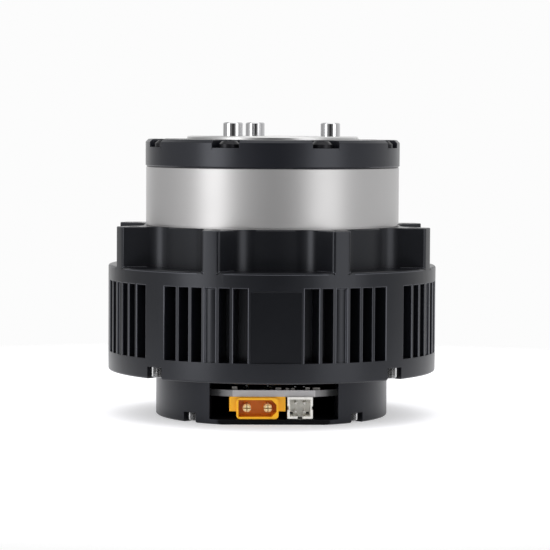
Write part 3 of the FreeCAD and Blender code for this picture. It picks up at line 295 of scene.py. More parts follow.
# a Mix node's colour sockets go by number, because each name stands for several types
MIX_SHARE, MIX_BELOW, MIX_ABOVE, MIX_COLOUR = 0, 6, 7, 2


def pattern_place(tree, place, pattern):
    """Where the fine pattern is read: the place itself, or (distance from the axis, 0,
    height) on a turned part.
    """
    if pattern == GRAINY:
        return place
    flat = put(tree, "ShaderNodeVectorMath", {1: (1.0, 1.0, 0.0)}, {0: place}, operation="MULTIPLY")
    reach = put(tree, "ShaderNodeVectorMath", links={0: flat.outputs[0]}, operation="LENGTH")
    split = put(tree, "ShaderNodeSeparateXYZ", links={0: place})
    grooves = put(tree, "ShaderNodeCombineXYZ", links={0: reach.outputs["Value"], 2: split.outputs[2]})
    return grooves.outputs[0]


def edge_share(tree, shaded_by_facing):
    """1 on faces that look sideways, |normal z| < 0.25, and 0 on others.  With the facing
    shade asked for, that is whole where normal y is -1 and eases to a tenth by -0.85,
    which paints shade on faces that turn away from the front.
    """
    normal = put(tree, "ShaderNodeTexCoord").outputs["Normal"]
    facing = put(tree, "ShaderNodeSeparateXYZ", links={0: normal})
    upright = put(tree, "ShaderNodeMath", links={0: facing.outputs[2]}, operation="ABSOLUTE")
    share = put(tree, "ShaderNodeMath", {1: SIDEWAYS}, {0: upright.outputs[0]}, operation="LESS_THAN")
    # painted shade: the edge darkens as it turns away from the front
    if shaded_by_facing:
        painted_facing_shade = put(tree, "ShaderNodeMapRange",
                       {"From Min": -1.0, "From Max": -0.85, "To Min": 1.0, "To Max": 0.10},
                       {"Value": facing.outputs[1]}, interpolation_type="SMOOTHSTEP")
        share = put(tree, "ShaderNodeMath", links={0: share.outputs[0], 1: painted_facing_shade.outputs[0]},
                    operation="MULTIPLY")
    return share.outputs[0]


print("faces with a normal's height under", SIDEWAYS, "count as edges")

# %% [markdown]
# ## The common part of a finish
# Each finish starts from the real one, and nothing real is quite even.  One function
# makes the common part: a principled shader whose colour and roughness wander a little
# in slow patches, and whose bump comes from the fine pattern.

# %% Finish
NOISE_LOW, NOISE_HIGH = 0.3, 0.7  # where nearly all of a noise's values lie


def finish(name, colour, shade, roughness, metallic=0.0, grain=0.5, pattern=GRAINY, depth=0.02,
           spread=0.06, anisotropic=0.0, ior=1.45, specular=0.5, coat=0.0, cloud=6.0, edge=None,
           shaded_by_facing=False, painted_pocket_shade=None, glint="#FFFFFF"):
    """A solid finish.  colour and shade are the two ends of its colour variation, grain
    the size of its fine pattern in mm, depth the height of the bump in mm, spread how
    far the roughness wanders and cloud the size in mm of its slow patches.  A noise's
    blobs are half a unit wide at scale 1, so a size gives the scale 0.5 / size.  edge is
    the colour of the faces that look sideways: a painted highlight on the black shells'
    rounds, the bare glass cloth on the board.  With the facing shade asked for, the edge
    is palest where the face looks straight to the front and darker as it turns away,
    which is painted shade.  The pocket shade, (start, end, colour) in metres along Y,
    paints a plastic a deeper colour further behind its front, as the shade in its
    hollows, and glint is the tint of its reflections.  A metal keeps the shader's own
    index of refraction.
    """
    material = bpy.data.materials.new(name)
    material.use_nodes = True
    tree = material.node_tree
    tree.nodes.clear()
    place = put(tree, "ShaderNodeTexCoord").outputs["Object"]
    fine = put(tree, "ShaderNodeTexNoise", {"Scale": 0.5 / (grain * MM), "Detail": 2.0},
               {"Vector": pattern_place(tree, place, pattern)}).outputs["Fac"]
    slow = put(tree, "ShaderNodeTexNoise",
               {"Scale": 0.5 / (cloud * MM), "Detail": 3.0, "Roughness": 0.6},
               {"Vector": place}).outputs["Fac"]
    tint = put(tree, "ShaderNodeMix", {MIX_BELOW: linear(colour), MIX_ABOVE: linear(shade)},
               {MIX_SHARE: slow}, data_type="RGBA")
    if edge:
        tint = put(tree, "ShaderNodeMix", {MIX_ABOVE: linear(edge)},
                   {MIX_SHARE: edge_share(tree, shaded_by_facing), MIX_BELOW: tint.outputs[MIX_COLOUR]},
                   data_type="RGBA")
    # painted shade: the colour deepens with the depth along Y into the hollows
    if painted_pocket_shade:
        start, end, painted_shade_colour = painted_pocket_shade
        inward = put(tree, "ShaderNodeSeparateXYZ", links={0: place})
        share = put(tree, "ShaderNodeMapRange", {"From Min": start, "From Max": end},
                    {"Value": inward.outputs[1]})
        tint = put(tree, "ShaderNodeMix", {MIX_ABOVE: linear(painted_shade_colour)},
                   {MIX_SHARE: share.outputs[0], MIX_BELOW: tint.outputs[MIX_COLOUR]},
                   data_type="RGBA")
    wander = put(tree, "ShaderNodeMapRange",
                 {"From Min": NOISE_LOW, "From Max": NOISE_HIGH, "To Min": roughness - spread,
                  "To Max": roughness + spread}, {"Value": slow})
    bump = put(tree, "ShaderNodeBump", {"Strength": 1.0, "Distance": depth * MM}, {"Height": fine})
    shader = put(tree, "ShaderNodeBsdfPrincipled",
                 {"Metallic": metallic, "Specular IOR Level": specular, "Anisotropic": anisotropic,
                  "Coat Weight": coat, "Specular Tint": linear(glint)},
                 {"Base Color": tint.outputs[MIX_COLOUR], "Roughness": wander.outputs[0],
                  "Normal": bump.outputs[0]})
    if metallic == 0.0:
        shader.inputs["IOR"].default_value = ior
    if anisotropic > 0.0:
        run = put(tree, "ShaderNodeTangent", direction_type="RADIAL", axis="Z")
        tree.links.new(run.outputs[0], shader.inputs["Tangent"])
    put(tree, "ShaderNodeOutputMaterial", links={"Surface": shader.outputs[0]})
    return material


FINISH = {}
print("noise mostly runs from", NOISE_LOW, "to", NOISE_HIGH)

# %% [markdown]
# ## Black finishes
# The housings are aluminium, blasted and anodised black: a dark satin skin with a
# plastic-like gloss.  Paint would look flatter and fill the corners, so the bump here
# stays under a hundredth of a millimetre.  A blasted grain is near 0.1 mm and is drawn
# three times as coarse, so that it shows.

# %% Black finishes
ANODISED = {"grain": 0.30, "depth": 0.003, "spread": 0.02}
# satin black skin of the finned housing
FINISH["black_anodised"] = finish("black_anodised_aluminium", "#08090C", "#0D0E12", 0.31, ior=1.47,
                                  specular=0.45, cloud=9.0, glint="#F3F6FF", **ANODISED)
# the cap was turned before anodising, so it took a glossier skin
FINISH["cap_anodised"] = finish("black_anodised_turned_cap", "#0E0F13", "#13141A", 0.31, ior=1.47,
                                specular=0.55, cloud=9.0, glint="#F3F6FF", **ANODISED)
# the cast cover took a duller one
FINISH["cover_anodised"] = finish("black_anodised_cast_cover", "#07080B", "#0B0C10", 0.33, ior=1.47,
                                  specular=0.35, cloud=9.0, glint="#EFF2FF", **ANODISED)
# a paler grey painted on the upright faces of the rounded edges as their highlight
FINISH["rubbed_edge"] = finish("anodised_edge_painted_highlight", "#0B0C10", "#101116", 0.34, ior=1.47,
                               specular=0.45, cloud=4.0, edge="#46474C", glint="#F3F6FF", **ANODISED)
# a cutter leaves the shallow recess on the front block less glossy
FINISH["milled_recess"] = finish("milled_recess_satin_black", "#07080B", "#0B0C0F", 0.36,
                                 specular=0.24, cloud=9.0, glint="#F3F6FF", **ANODISED)
# the flat front faces of the pocket under the connectors take a darker, duller black
FINISH["dark_front_black"] = finish("dark_pocket_front_black", "#060609", "#09090B", 0.62, grain=0.30,
                                depth=0.006, spread=0.04, specular=0.12, cloud=5.0)
print("finishes", len(FINISH))

# %% [markdown]
# ## Bare metal finishes
# The gear ring is bare steel with fine turning grooves.  They stretch each reflection
# along the axis, and no bump is fine enough to do that, so its shader is anisotropic.
# Real grooves lie near 0.1 mm apart and are drawn twice as far apart, so that they show.

# %% Bare metal finishes
# a thin skin of oil, oxide or enamel reflects 3.4 per cent head-on, 2 x 0.4217 x 4
SKIN_GLOSS = 0.4217
# turned steel: soft upright bands of light
FINISH["bare_steel"] = finish("turned_bare_steel", "#B7B6B6", "#AFAEAE", 0.31, metallic=0.76,
                              specular=SKIN_GLOSS, grain=0.22, pattern=TURNED, depth=0.0015,
                              spread=0.012, anisotropic=0.6, cloud=14.0)
# turned aluminium under a clear skin: paler, with rings round the axis
FINISH["flange_metal"] = finish("turned_clear_aluminium", "#E4E4E3", "#D4D4D4", 0.30, metallic=1.0,
                                grain=0.25, pattern=TURNED, depth=0.004, anisotropic=0.5, cloud=8.0)
# polished dowels: nearly a mirror
FINISH["dowel_steel"] = finish("polished_steel", "#DADADB", "#CFCFD1", 0.07, metallic=1.0, grain=0.6,
                               depth=0.001, spread=0.02, cloud=3.0)
# hobbed gears keep fine cutter marks and look greyer
FINISH["gear_steel"] = finish("hobbed_steel", "#A9A8A6", "#8F8E8C", 0.34, metallic=1.0, grain=0.25,
                              depth=0.006, cloud=4.0)
# ground rings and balls: bright with a slight veil
FINISH["bearing_steel"] = finish("ground_steel", "#C4C4C6", "#B4B4B6", 0.14, metallic=1.0, grain=0.4,
                                 depth=0.002, spread=0.04, cloud=3.0)
# sintered bronze is porous: warm and rather dull
FINISH["bronze"] = finish("sintered_bronze", "#A5793F", "#8A6231", 0.42, metallic=1.0, grain=0.20,
                          depth=0.012, cloud=2.0)
print("finishes", len(FINISH))

# %% [markdown]
# ## Screw, winding and magnet finishes
# The screws and the motor's inside are plated, oxidised or enamelled metals.  Each skin
# could be a layer of its own, but at this size only its colour and its gloss show, so
# one metal with the skin's colours is enough.

# %% Screw and motor finishes
# zinc plate: pale grey with dull patches
FINISH["zinc_screw"] = finish("zinc_plated_steel", "#C2C2C2", "#8E8E90", 0.26, metallic=1.0,
                              grain=0.35, depth=0.01, cloud=1.2)
# black oxide: a soft dark sheen
FINISH["black_screw"] = finish("black_oxide_steel", "#17171A", "#202024", 0.33, metallic=0.6,
                               specular=SKIN_GLOSS, grain=0.3, depth=0.006, cloud=1.5)
# enamelled wire: copper under a clear coat
FINISH["copper"] = finish("enamelled_copper", "#B5622C", "#8E431A", 0.28, metallic=0.9,
                          specular=SKIN_GLOSS, grain=0.5, depth=0.05, coat=0.5, cloud=3.0)
# stacked sheets: dull grey
FINISH["lamination"] = finish("laminated_steel", "#6E6E70", "#5A5A5C", 0.48, metallic=0.9,
                              specular=SKIN_GLOSS, grain=0.35, depth=0.02, cloud=3.0)
# nickel plate: bright with a warm cast
FINISH["magnet"] = finish("nickel_plated_magnet", "#B9B8B4", "#A5A4A0", 0.22, metallic=1.0,
                          grain=0.4, depth=0.004, cloud=3.0)
# silicone: black and matt
FINISH["lead_sleeve"] = finish("silicone_sleeve", "#1B1B1D", "#252527", 0.55, grain=0.4, depth=0.01,
                               cloud=2.0)
print("finishes", len(FINISH))

# %% [markdown]
# ## Board and connector finishes
# The board is glass-epoxy under a dark solder mask.  Its small parts are matt epoxy or
# ceramic, the power connector is orange nylon and the signal connector ivory nylon.
# Nylon is slightly cloudy.  The hollows of the orange housing are in shade, and that
# shade is painted: the orange deepens with the depth behind the connector's front.

# %% Board and connector finishes
# depths behind the connector's front over which its orange is painted deeper, as shade
POCKET_SHADE_START = 0.9 * MM  # behind the connector's front
POCKET_SHADE_END = 2.4 * MM
plug_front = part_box("power_connector_body")[0][1]
# dark glossy mask, with the pale glass cloth bare along the edge, painted darker as the
# edge turns away from the front, as its shade
FINISH["board_laminate"] = finish("solder_masked_laminate", "#0A0F0E", "#101615", 0.34, grain=0.5,
                                  depth=0.01, ior=1.5, cloud=4.0, edge="#B8B6B7", shaded_by_facing=True)
# moulded chips: matt black
FINISH["chip_black"] = finish("moulded_epoxy", "#161617", "#1E1E1F", 0.55, grain=0.25, depth=0.01,
                              cloud=2.0)
# fired capacitors: a warm satin grey
FINISH["ceramic"] = finish("fired_ceramic", "#8E8B86", "#6F6C68", 0.40, grain=0.3, depth=0.006,
                           cloud=1.0)
# orange nylon: satin, painted a deeper orange behind its front as the shade in its hollows
FINISH["power_housing"] = finish("orange_nylon", "#FFBE20", "#FFB516", 0.34, grain=0.35, depth=0.004,
                                 specular=0.36, cloud=3.0,
                                 painted_pocket_shade=(plug_front + POCKET_SHADE_START, plug_front + POCKET_SHADE_END, "#EC8A09"))
# ivory nylon: satin, nearly white
FINISH["signal_housing"] = finish("ivory_nylon", "#FAF8F2", "#F3F1EA", 0.40, grain=0.35, depth=0.004,
                                  ior=1.53, cloud=3.0)
# a thin gold plate in a lit socket: pale, more glow than mirror
FINISH["gold_pin"] = finish("gold_plated_brass", "#FFEFC4", "#F8DFA0", 0.30, metallic=0.15,
                            specular=SKIN_GLOSS, grain=0.3, depth=0.003, cloud=1.0)
# tin plate: bright grey
FINISH["tin_pin"] = finish("tin_plated_brass", "#CFCDC6", "#BDBBB4", 0.28, metallic=1.0, grain=0.3,
                           depth=0.005, cloud=1.0)
# drawn brass: a smooth yellow
FINISH["standoff_brass"] = finish("drawn_brass", "#C79A52", "#B58843", 0.28, metallic=1.0, grain=0.3,
                                  depth=0.004, cloud=2.0)
print("finishes", len(FINISH))

# %% [markdown]
# ## Finishes on the solids
# The record says which slot each solid takes.  The finishes could be given one by one,
# but one loop that reads the record can't disagree with it.

# %% Dress the solids
slot_of = {part["node"]: part["material_slot"] for part in frame["record"]["subparts"]}
bodies = frame["record"]["behaviour"]["bodies"]
body_of = {node: body for body, nodes in bodies.items() for node in nodes}
for node_name, node_object in frame["nodes"].items():
    node_object.data.materials.clear()
    node_object.data.materials.append(FINISH[slot_of[node_name]])
print("dressed", len(frame["nodes"]), "solids")

# %% [markdown]
# ## Sharp edges
# A real housing has no knife edges: a deburring wheel rounds each one by a tenth or two
# of a millimetre, and these narrow rounds catch the light as thin bright lines.  Edges
# marked by hand would be lost at the next change of size, so they are found by the angle
# between the two faces that each edge joins.

# %% Find the sharp edges
CORNER = 35.0  # degrees between two faces from which their edge counts as sharp


def sharp_edges(mesh, least_degrees):
    """Middles of a mesh's edges, and which of them join two faces whose normals differ
    by more than an angle, which is so where n1 . n2 is under the angle's cosine.
    """
    edge_count = len(mesh.edges)
    totals = np.empty(len(mesh.polygons), np.int64)
    mesh.polygons.foreach_get("loop_total", totals)
    normals = np.empty(3 * len(mesh.polygons))
    mesh.polygons.foreach_get("normal", normals)
    loop_edge = np.empty(len(mesh.loops), np.int64)
    mesh.loops.foreach_get("edge_index", loop_edge)
    loop_normal = np.repeat(normals.reshape(-1, 3), totals, axis=0)
    order = np.argsort(loop_edge, kind="stable")
    starts = np.searchsorted(loop_edge[order], np.arange(edge_count))
    uses = np.bincount(loop_edge, minlength=edge_count)
    first = loop_normal[order[starts]]
    second = loop_normal[order[np.minimum(starts + 1, len(order) - 1)]]
    sharp = (uses == 2) & ((first * second).sum(1) < math.cos(math.radians(least_degrees)))
    ends = np.empty(2 * edge_count, np.int64)
    mesh.edges.foreach_get("vertices", ends)
    spots = np.empty(3 * len(mesh.vertices))
    mesh.vertices.foreach_get("co", spots)
    return spots.reshape(-1, 3)[ends.reshape(-1, 2)].mean(1), sharp


print("edges over", CORNER, "degrees can be rounded")

# %% [markdown]
# ## Deburred copies
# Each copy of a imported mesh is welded, its flat triangles are joined to whole faces and
# a bevel rounds its sharp edges, so the solid underneath stays as it is.  The bevel
# follows a weight on each edge, because a limit by angle would also take the edges that
# other pieces hide.

# %% Deburred copies
WELD = 1e-6  # metres between two points that are one
FLAT = 0.6  # degrees up to which neighbouring triangles are one face
CREASE = 30.0  # degrees from which the shading breaks
BEVEL_STEPS = 2


def deburred(node_name, width, chosen, rubbed=False, skin=None):
    """A welded copy of a solid whose sharp edges are rounded to a width in mm, where
    chosen picks the edges from their distance from the axis, height and place in mm.
    Its rounds can take a paler grey painted on their upright faces as a highlight, and
    skin names a finish other than the solid's own.
    """
    source = frame["nodes"][node_name]
    mesh = source.data.copy()
    mesh.name = node_name + "_deburred"
    work = bmesh.new()
    work.from_mesh(mesh)
    bmesh.ops.remove_doubles(work, verts=work.verts, dist=WELD)
    bmesh.ops.dissolve_limit(work, angle_limit=math.radians(FLAT), verts=work.verts, edges=work.edges,
                             delimit={"NORMAL"})
    work.to_mesh(mesh)
    work.free()
    if "custom_normal" in mesh.attributes:
        mesh.attributes.remove(mesh.attributes["custom_normal"])
    middle, sharp = sharp_edges(mesh, CORNER)
    middle = middle / MM
    reach = np.hypot(middle[:, 0], middle[:, 1])
    picked = sharp & chosen(reach, middle[:, 2], middle)
    weight = mesh.attributes.new("bevel_weight_edge", "FLOAT", "EDGE")
    weight.data.foreach_set("value", picked.astype(np.float32))
    mesh.shade_smooth()
    mesh.set_sharp_from_angle(angle=math.radians(CREASE))
    mesh.materials.clear()
    mesh.materials.append(FINISH[skin or slot_of[node_name]])
    # second slot: black with a painted highlight on the upright faces of the rounds
    mesh.materials.append(FINISH["rubbed_edge"])
    piece = bpy.data.objects.new(node_name + "_deburred", mesh)
    bpy.context.scene.collection.objects.link(piece)
    rounding = piece.modifiers.new("rounded_edges", "BEVEL")
    rounding.width = width * MM
    rounding.segments = BEVEL_STEPS
    rounding.limit_method = "WEIGHT"
    rounding.use_clamp_overlap = False
    rounding.harden_normals = True
    rounding.material = 1 if rubbed else 0
    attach(piece, body_of[node_name])
    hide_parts(node_name)
    print(node_name, "rounds", int(picked.sum()), "edges of", len(mesh.edges))
    return piece


# %% [markdown]
# ## Deburred shells
# The four shells are rounded where a hand or a wheel reaches them: outside the neck, and
# away from the faces where two shells meet.  The shallow recess on the front block is
# milled and keeps its crisp edges.

# %% Deburred shells
BAND_REACH, BAND_FOOT = 37.0, 15.8  # mm from the axis and mm up, as the others
CAP_REACH, CAP_POCKETS = 24.6, 65.5
PLATE_REACH, PLATE_SEAT = 36.0, 15.0
COVER_REACH, COVER_SEAT = 25.2, 10.9
RECESS_FRONT = -39.0
RECESS_FOOT = 15.9


def in_the_recess(place, half_width, top):
    """True in the shallow recess on the front block, within a half width and a height."""
    return ((np.abs(place[:, 0]) < half_width) & (place[:, 1] < RECESS_FRONT)
            & (place[:, 2] > RECESS_FOOT) & (place[:, 2] < top))


def band_edges(reach, z, place):
    """True on the fins, blocks and lugs, apart from the recess and its slope."""
    recess = in_the_recess(place, half_width=6.3, top=34.0)
    return (reach > BAND_REACH) & (z > BAND_FOOT) & ~recess


# the housing's rounds take the painted edge highlight
housing = deburred("motor_housing", width=0.20, chosen=band_edges, rubbed=True)
deburred("front_cap", width=0.12, skin="cap_anodised",
         chosen=lambda reach, z, place: (reach > CAP_REACH) & (z > CAP_POCKETS))
deburred("rear_plate", width=0.16,
         chosen=lambda reach, z, place: (reach > PLATE_REACH) & (z < PLATE_SEAT))
cover = deburred("driver_cover", width=0.12, skin="cover_anodised",
                 chosen=lambda reach, z, place: (reach > COVER_REACH) & (z < COVER_SEAT))

# %% [markdown]
# ## Matt faces
# Two areas are duller than the rest of their shell: the pocket under the connectors and
# the milled recess.  Splitting them off would make pieces that the object doesn't have,
# so their faces take a second finish by number.

# %% Matt faces
SQUARE_ON = -0.9995  # normal y of a face that looks straight to the front
TO_THE_FRONT = -0.1  # normal y of a face that looks more or less there
RECESS_SKIN = 39.97  # mm from the axis, just under the band's outside


def dull(piece, finish_name, chosen):
    """Gives another finish to the faces that chosen picks from middle in mm and normal."""
    mesh = piece.data
    middle, normal = np.empty(3 * len(mesh.polygons)), np.empty(3 * len(mesh.polygons))
    mesh.polygons.foreach_get("center", middle)
    mesh.polygons.foreach_get("normal", normal)
    picked = chosen(middle.reshape(-1, 3) / MM, normal.reshape(-1, 3))
    mesh.materials.append(FINISH[finish_name])
    number = len(mesh.materials) - 1
    mesh.polygons.foreach_set("material_index", np.where(picked, number, 0).astype(np.int32))
    print(piece.name, "faces in", finish_name, int(picked.sum()))


def recess_floor(middle, normal):
    """True on the faces of the recess that look to the front and lie under the band."""
    return (in_the_recess(middle, half_width=6.0, top=33.1) & (normal[:, 1] < TO_THE_FRONT)
            & (np.hypot(middle[:, 0], middle[:, 1]) < RECESS_SKIN))


dull(cover, "dark_front_black", lambda middle, normal: normal[:, 1] < SQUARE_ON)
dull(housing, "milled_recess", recess_floor)

# %% [markdown]
# ## Turned bodies
# A screw is a surface of revolution: its profile climbs the shank, runs out under the
# head, up the head's side and down into the socket.  Cutting a knurl into a cylinder
# would need hundreds of cuts, and one formula gives it: a row of the profile may be
# fluted, r(a) = r - d (1 - cos(n a)) / 2, which makes a knurled head, or hexagonal,
# r(a) = r cos 30 / cos(((a + 30) mod 60) - 30) in degrees, which makes the socket.

# %% Turned bodies
FLUTES = 28


def turned_rows(profile, columns):
    """Points and faces of a closed turned body, from rows of (height, radius, flute
    depth, hexagonal) in mm.  The first and last rows have no radius and are the poles.
    """
    z, r, depth, hexed = [np.array(column, float)[:, None] for column in zip(*profile)]
    angle = np.linspace(0.0, TURN, columns, endpoint=False)[None, :]
    wave = 0.5 - 0.5 * np.cos(FLUTES * angle)
    sixth = TURN / 6.0
    hexagon = math.cos(sixth / 2) / np.cos((angle + sixth / 2) % sixth - sixth / 2)
    reach = r * np.where(hexed > 0.5, hexagon, 1.0) - depth * wave
    points = np.stack([reach * np.cos(angle), reach * np.sin(angle), z + 0.0 * angle], axis=2)
    body = points[1:-1].reshape(-1, 3)
    poles = np.array([[0.0, 0.0, z[0, 0]], [0.0, 0.0, z[-1, 0]]])
    rows = len(profile) - 2
    here = np.arange(columns)
    after = (here + 1) % columns
    low = (np.arange(rows - 1) * columns)[:, None]
    quads = np.stack([low + here, low + after, low + after + columns, low + here + columns], axis=2)
    first, last = rows * columns, rows * columns + 1
    top = (rows - 1) * columns
    caps = [[first, b, a] for a, b in zip(here.tolist(), after.tolist())]
    caps += [[last, top + a, top + b] for a, b in zip(here.tolist(), after.tolist())]
    return np.vstack([body, poles]) * MM, quads.reshape(-1, 4).tolist() + caps


print("a knurl has", FLUTES, "flutes")

# %% [markdown]
# ## Copies in a ring
# Screws and threads stand in rings.  Linked copies would be many pieces, so one mesh
# holds a whole set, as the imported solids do, and each copy is turned with its place.

# %% Copies and mesh objects
CORNERS = 45.0 + 90.0 * np.arange(4)  # degrees
EIGHTHS = 22.5 + 45.0 * np.arange(8)


def ring_spots(radius, height, degrees):
    """Spots on a circle, each turned with its angle."""
    turns = np.radians(degrees)
    return np.stack([radius * np.cos(turns), radius * np.sin(turns), height + 0 * turns, turns], axis=1)


def placed(points, faces, spots, flip=False):
    """Copies of a body at (x, y, z, turn) spots, in mm and radians, as one set of points
    and faces.  flip turns each copy over about X first.
    """
    if flip:
        points = points * [1.0, -1.0, -1.0]
    x, y, z, turn = np.array(spots, float).T
    c, s = np.cos(turn)[:, None], np.sin(turn)[:, None]
    moved = np.stack([points[:, 0] * c - points[:, 1] * s + x[:, None] * MM,
                      points[:, 0] * s + points[:, 1] * c + y[:, None] * MM,
                      points[:, 2] + z[:, None] * MM], axis=2)
    shift = len(points)
    copies = [[i + k * shift for i in face] for k in range(len(spots)) for face in faces]
    return moved.reshape(-1, 3), copies


def built(name, points, faces, material, body, sharp, replaced=None):
    """A mesh object from points and faces, shaded smooth up to an angle in degrees."""
    mesh = bpy.data.meshes.new(name)
    mesh.from_pydata(points.tolist(), [], faces)
    mesh.shade_smooth()
    mesh.set_sharp_from_angle(angle=math.radians(sharp))
    mesh.materials.append(material)
    piece = bpy.data.objects.new(name, mesh)
    bpy.context.scene.collection.objects.link(piece)
    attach(piece, body)
    if replaced:
        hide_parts(replaced)


print("rings of", len(CORNERS), "and", len(EIGHTHS))

# %% [markdown]
# ## Screws
# Eight low black screws hold the cap.  Four knurled screws hold the rear plate and four
# smaller ones the cover, both from below.  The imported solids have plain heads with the
# same sizes, so each set is measured against the solid that it stands for.

# %% Screw profile
TIP_BEVEL = 0.25  # mm, as the others
FOOT_BEVEL = 0.06
TOP_ROUND = 0.08
SOCKET_BEVEL = 0.10
SOCKET_FLOOR = 0.45  # share of the head's height
SOCKET_POINT = 0.38


def screw_profile(head_r, head_h, bevel, shank_r, length, socket_r, flute):
    """Rows of a socket screw whose head stands on the plane z = 0."""
    return [(-length, 0, 0, 0), (-length, shank_r - TIP_BEVEL, 0, 0),
            (-length + TIP_BEVEL, shank_r, 0, 0), (0.0, shank_r, 0, 0),
            (0.0, head_r - FOOT_BEVEL, flute, 0), (FOOT_BEVEL, head_r, flute, 0),
            (head_h - bevel, head_r, flute, 0),
            (head_h - bevel + TOP_ROUND, head_r - TOP_ROUND, 0, 0),
            (head_h - TOP_ROUND, head_r - bevel, 0, 0),
            (head_h, head_r - bevel - TOP_ROUND, 0, 0),
            (head_h, socket_r + SOCKET_BEVEL, 0, 1), (head_h - SOCKET_BEVEL, socket_r, 0, 1),
            (head_h * SOCKET_FLOOR, socket_r, 0, 1), (head_h * SOCKET_POINT, 0, 0, 1)]


CAP_SCREW = screw_profile(head_r=2.5, head_h=1.65, bevel=0.75, shank_r=1.25, length=26.4,
                          socket_r=0.9, flute=0.0)
PLATE_SCREW = screw_profile(head_r=2.25, head_h=2.5, bevel=0.25, shank_r=1.25, length=10.0,
                            socket_r=1.15, flute=0.27)
COVER_SCREW = screw_profile(head_r=1.8, head_h=2.0, bevel=0.25, shank_r=1.0, length=11.5,
                            socket_r=0.85, flute=0.23)
print("rows in a screw's profile", len(CAP_SCREW))

# %% Screws
PLAIN_COLUMNS = 48
KNURL_COLUMNS = 6 * FLUTES
SCREW_CREASE = 30.0
for name, node_name, profile, columns, spots, flip in (
        ("cap_screw_set", "front_cap_screws", CAP_SCREW, PLAIN_COLUMNS,
         ring_spots(radius=28.2, height=65.3, degrees=EIGHTHS), False),
        ("knurled_plate_screws", "rear_plate_screws", PLATE_SCREW, KNURL_COLUMNS,
         ring_spots(radius=37.6, height=13.85, degrees=CORNERS), True),
        ("knurled_cover_screws", "driver_cover_screws", COVER_SCREW, KNURL_COLUMNS,
         ring_spots(radius=25.9, height=2.3, degrees=CORNERS), True)):
    cad_lowest, cad_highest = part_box(node_name)
    points, faces = placed(*turned_rows(profile, columns), spots, flip)
    built(name, points, faces, FINISH[slot_of[node_name]], body_of[node_name], SCREW_CREASE, node_name)
    print(name, "differs from the solid's box by",
          round(1000 * max(np.abs(points.min(0) - np.array(cad_lowest)).max(),
                           np.abs(points.max(0) - np.array(cad_highest)).max()), 3), "mm")

# %% [markdown]
# ## Threads
# A tapped hole shows a helical groove.  A bump could draw it, but its crests would not
# stand out of the wall, so a thin sleeve is made instead.  Its wall follows a triangle
# wave of height and angle, r = crest + depth |2 frac(z / pitch - a / 360) - 1|, and its
# outer wall lies just inside the metal.

# %% Threads
THREAD_COLUMNS = 32
ROWS_PER_TURN = 6
ROOT_GAP = 0.01  # mm from the groove's root to the hole's wall
BURIED = 0.02  # mm that the outer wall lies inside the metal
THREAD_CREASE = 50.0
TAP_TURNS = 46.5 + 120.0 * np.arange(3)  # degrees, half way between the dowels


def thread_sleeve(hole_r, length, pitch, crest):
    """Points and faces of a sleeve with an inner thread; its top is at z = 0."""
    angle = np.linspace(0.0, TURN, THREAD_COLUMNS, endpoint=False)[None, :]
    z = np.linspace(0.0, -length, int(length / pitch * ROWS_PER_TURN) + 1)[:, None]
    wave = np.abs(2.0 * ((z / pitch - angle / TURN) % 1.0) - 1.0)
    inner = (hole_r - crest) + (crest - ROOT_GAP) * wave
    inner[0] = inner[-1] = hole_r - ROOT_GAP
    outer = np.full((2, THREAD_COLUMNS), hole_r + BURIED)
    reach = np.vstack([outer, inner])
    heights = np.vstack([[[-length]], [[0.0]], z])
    points = np.stack([reach * np.cos(angle), reach * np.sin(angle), heights + 0.0 * angle], axis=2)
    rows = len(reach)
    here = np.arange(THREAD_COLUMNS)
    after = (here + 1) % THREAD_COLUMNS
    low = (np.arange(rows) * THREAD_COLUMNS)[:, None]
    high = ((np.arange(rows) + 1) % rows * THREAD_COLUMNS)[:, None]
    quads = np.stack([low + here, low + after, high + after, high + here], axis=2)
    return points.reshape(-1, 3) * MM, quads.reshape(-1, 4).tolist()


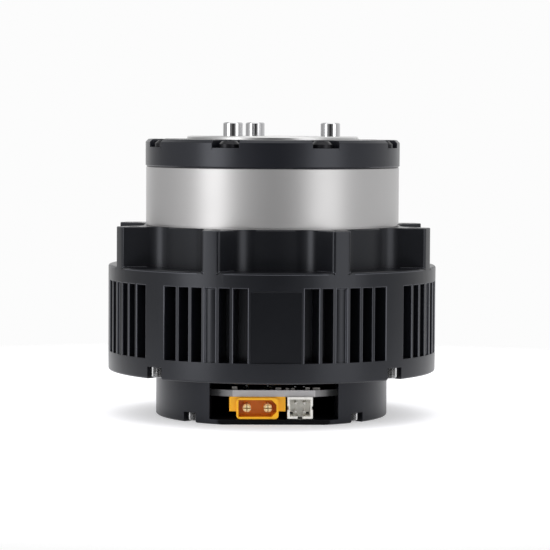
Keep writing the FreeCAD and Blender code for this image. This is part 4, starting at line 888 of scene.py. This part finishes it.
lug_thread = thread_sleeve(hole_r=1.25, length=4.0, pitch=0.5, crest=0.14)
points, faces = placed(*lug_thread, ring_spots(radius=36.2, height=46.05, degrees=EIGHTHS))
built("lug_threads", points, faces, FINISH["black_anodised"], "housing", THREAD_CREASE)
tap_thread = thread_sleeve(hole_r=1.65, length=4.2, pitch=0.7, crest=0.18)
points, faces = placed(*tap_thread, ring_spots(radius=14.3, height=67.8, degrees=TAP_TURNS))
built("output_tap_threads", points, faces, FINISH["flange_metal"], "output", THREAD_CREASE)
print("threads in", len(EIGHTHS), "lugs and", len(TAP_TURNS), "output taps")

# %% [markdown]
# ## Solder on the board
# Each connector pin comes up through the board in a small bright cone of solder.  Its
# side is hollow because the liquid metal climbs the pin, so a straight cone would look
# wrong: with h from 0 to 1 up the cone, its radius is 0.35 + 0.65 (1 - h) ^ 2.2 mm.

# %% Solder
CONE_HEIGHT = 0.55  # mm, as the others
CONE_TIP = 0.58
PIN_R = 0.35
PAD_RIM = 0.65
BOARD_TOP = 8.05
POWER_X, POWER_Y = (-6.4, -1.4), -18.4
SIGNAL_X, SIGNAL_Y = (5.2, 7.2), (-18.85, -20.05)
HOLLOW = 2.2  # power of the hollow side
CONE_ROWS, CONE_COLUMNS = 7, 24
SOLDER_CREASE = 60.0  # degrees
cone = [(0.0, 0, 0, 0)]
cone += [(CONE_HEIGHT * h, PIN_R + PAD_RIM * (1.0 - h) ** HOLLOW, 0, 0)
         for h in np.linspace(0.0, 1.0, CONE_ROWS)]
cone += [(CONE_TIP, 0, 0, 0)]
power_pads = [(x, POWER_Y, BOARD_TOP, 0.0) for x in POWER_X]
signal_pads = [(x, y, BOARD_TOP, 0.0) for x in SIGNAL_X for y in SIGNAL_Y]
# tin solder: bright and slightly frosted
FINISH["solder"] = finish("tin_solder", "#C9C9C8", "#B2B2B0", 0.24, metallic=1.0, grain=0.3,
                          depth=0.01, cloud=0.8)
points, faces = placed(*turned_rows(cone, CONE_COLUMNS), power_pads + signal_pads)
built("solder_cones", points, faces, FINISH["solder"], body_of["driver_board"], SOLDER_CREASE)
print("solder cones", len(power_pads + signal_pads))

# %% [markdown]
# ## The dressed part's box
# The box round the dressed part is worked out and printed. The dressed part has to stay
# inside the solid model's box.

# %% Finish the scene
view = bpy.context.scene.view_settings
view.view_transform = "Standard"
low, high = [list(corner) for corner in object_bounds()]
print("visual box", low, high)
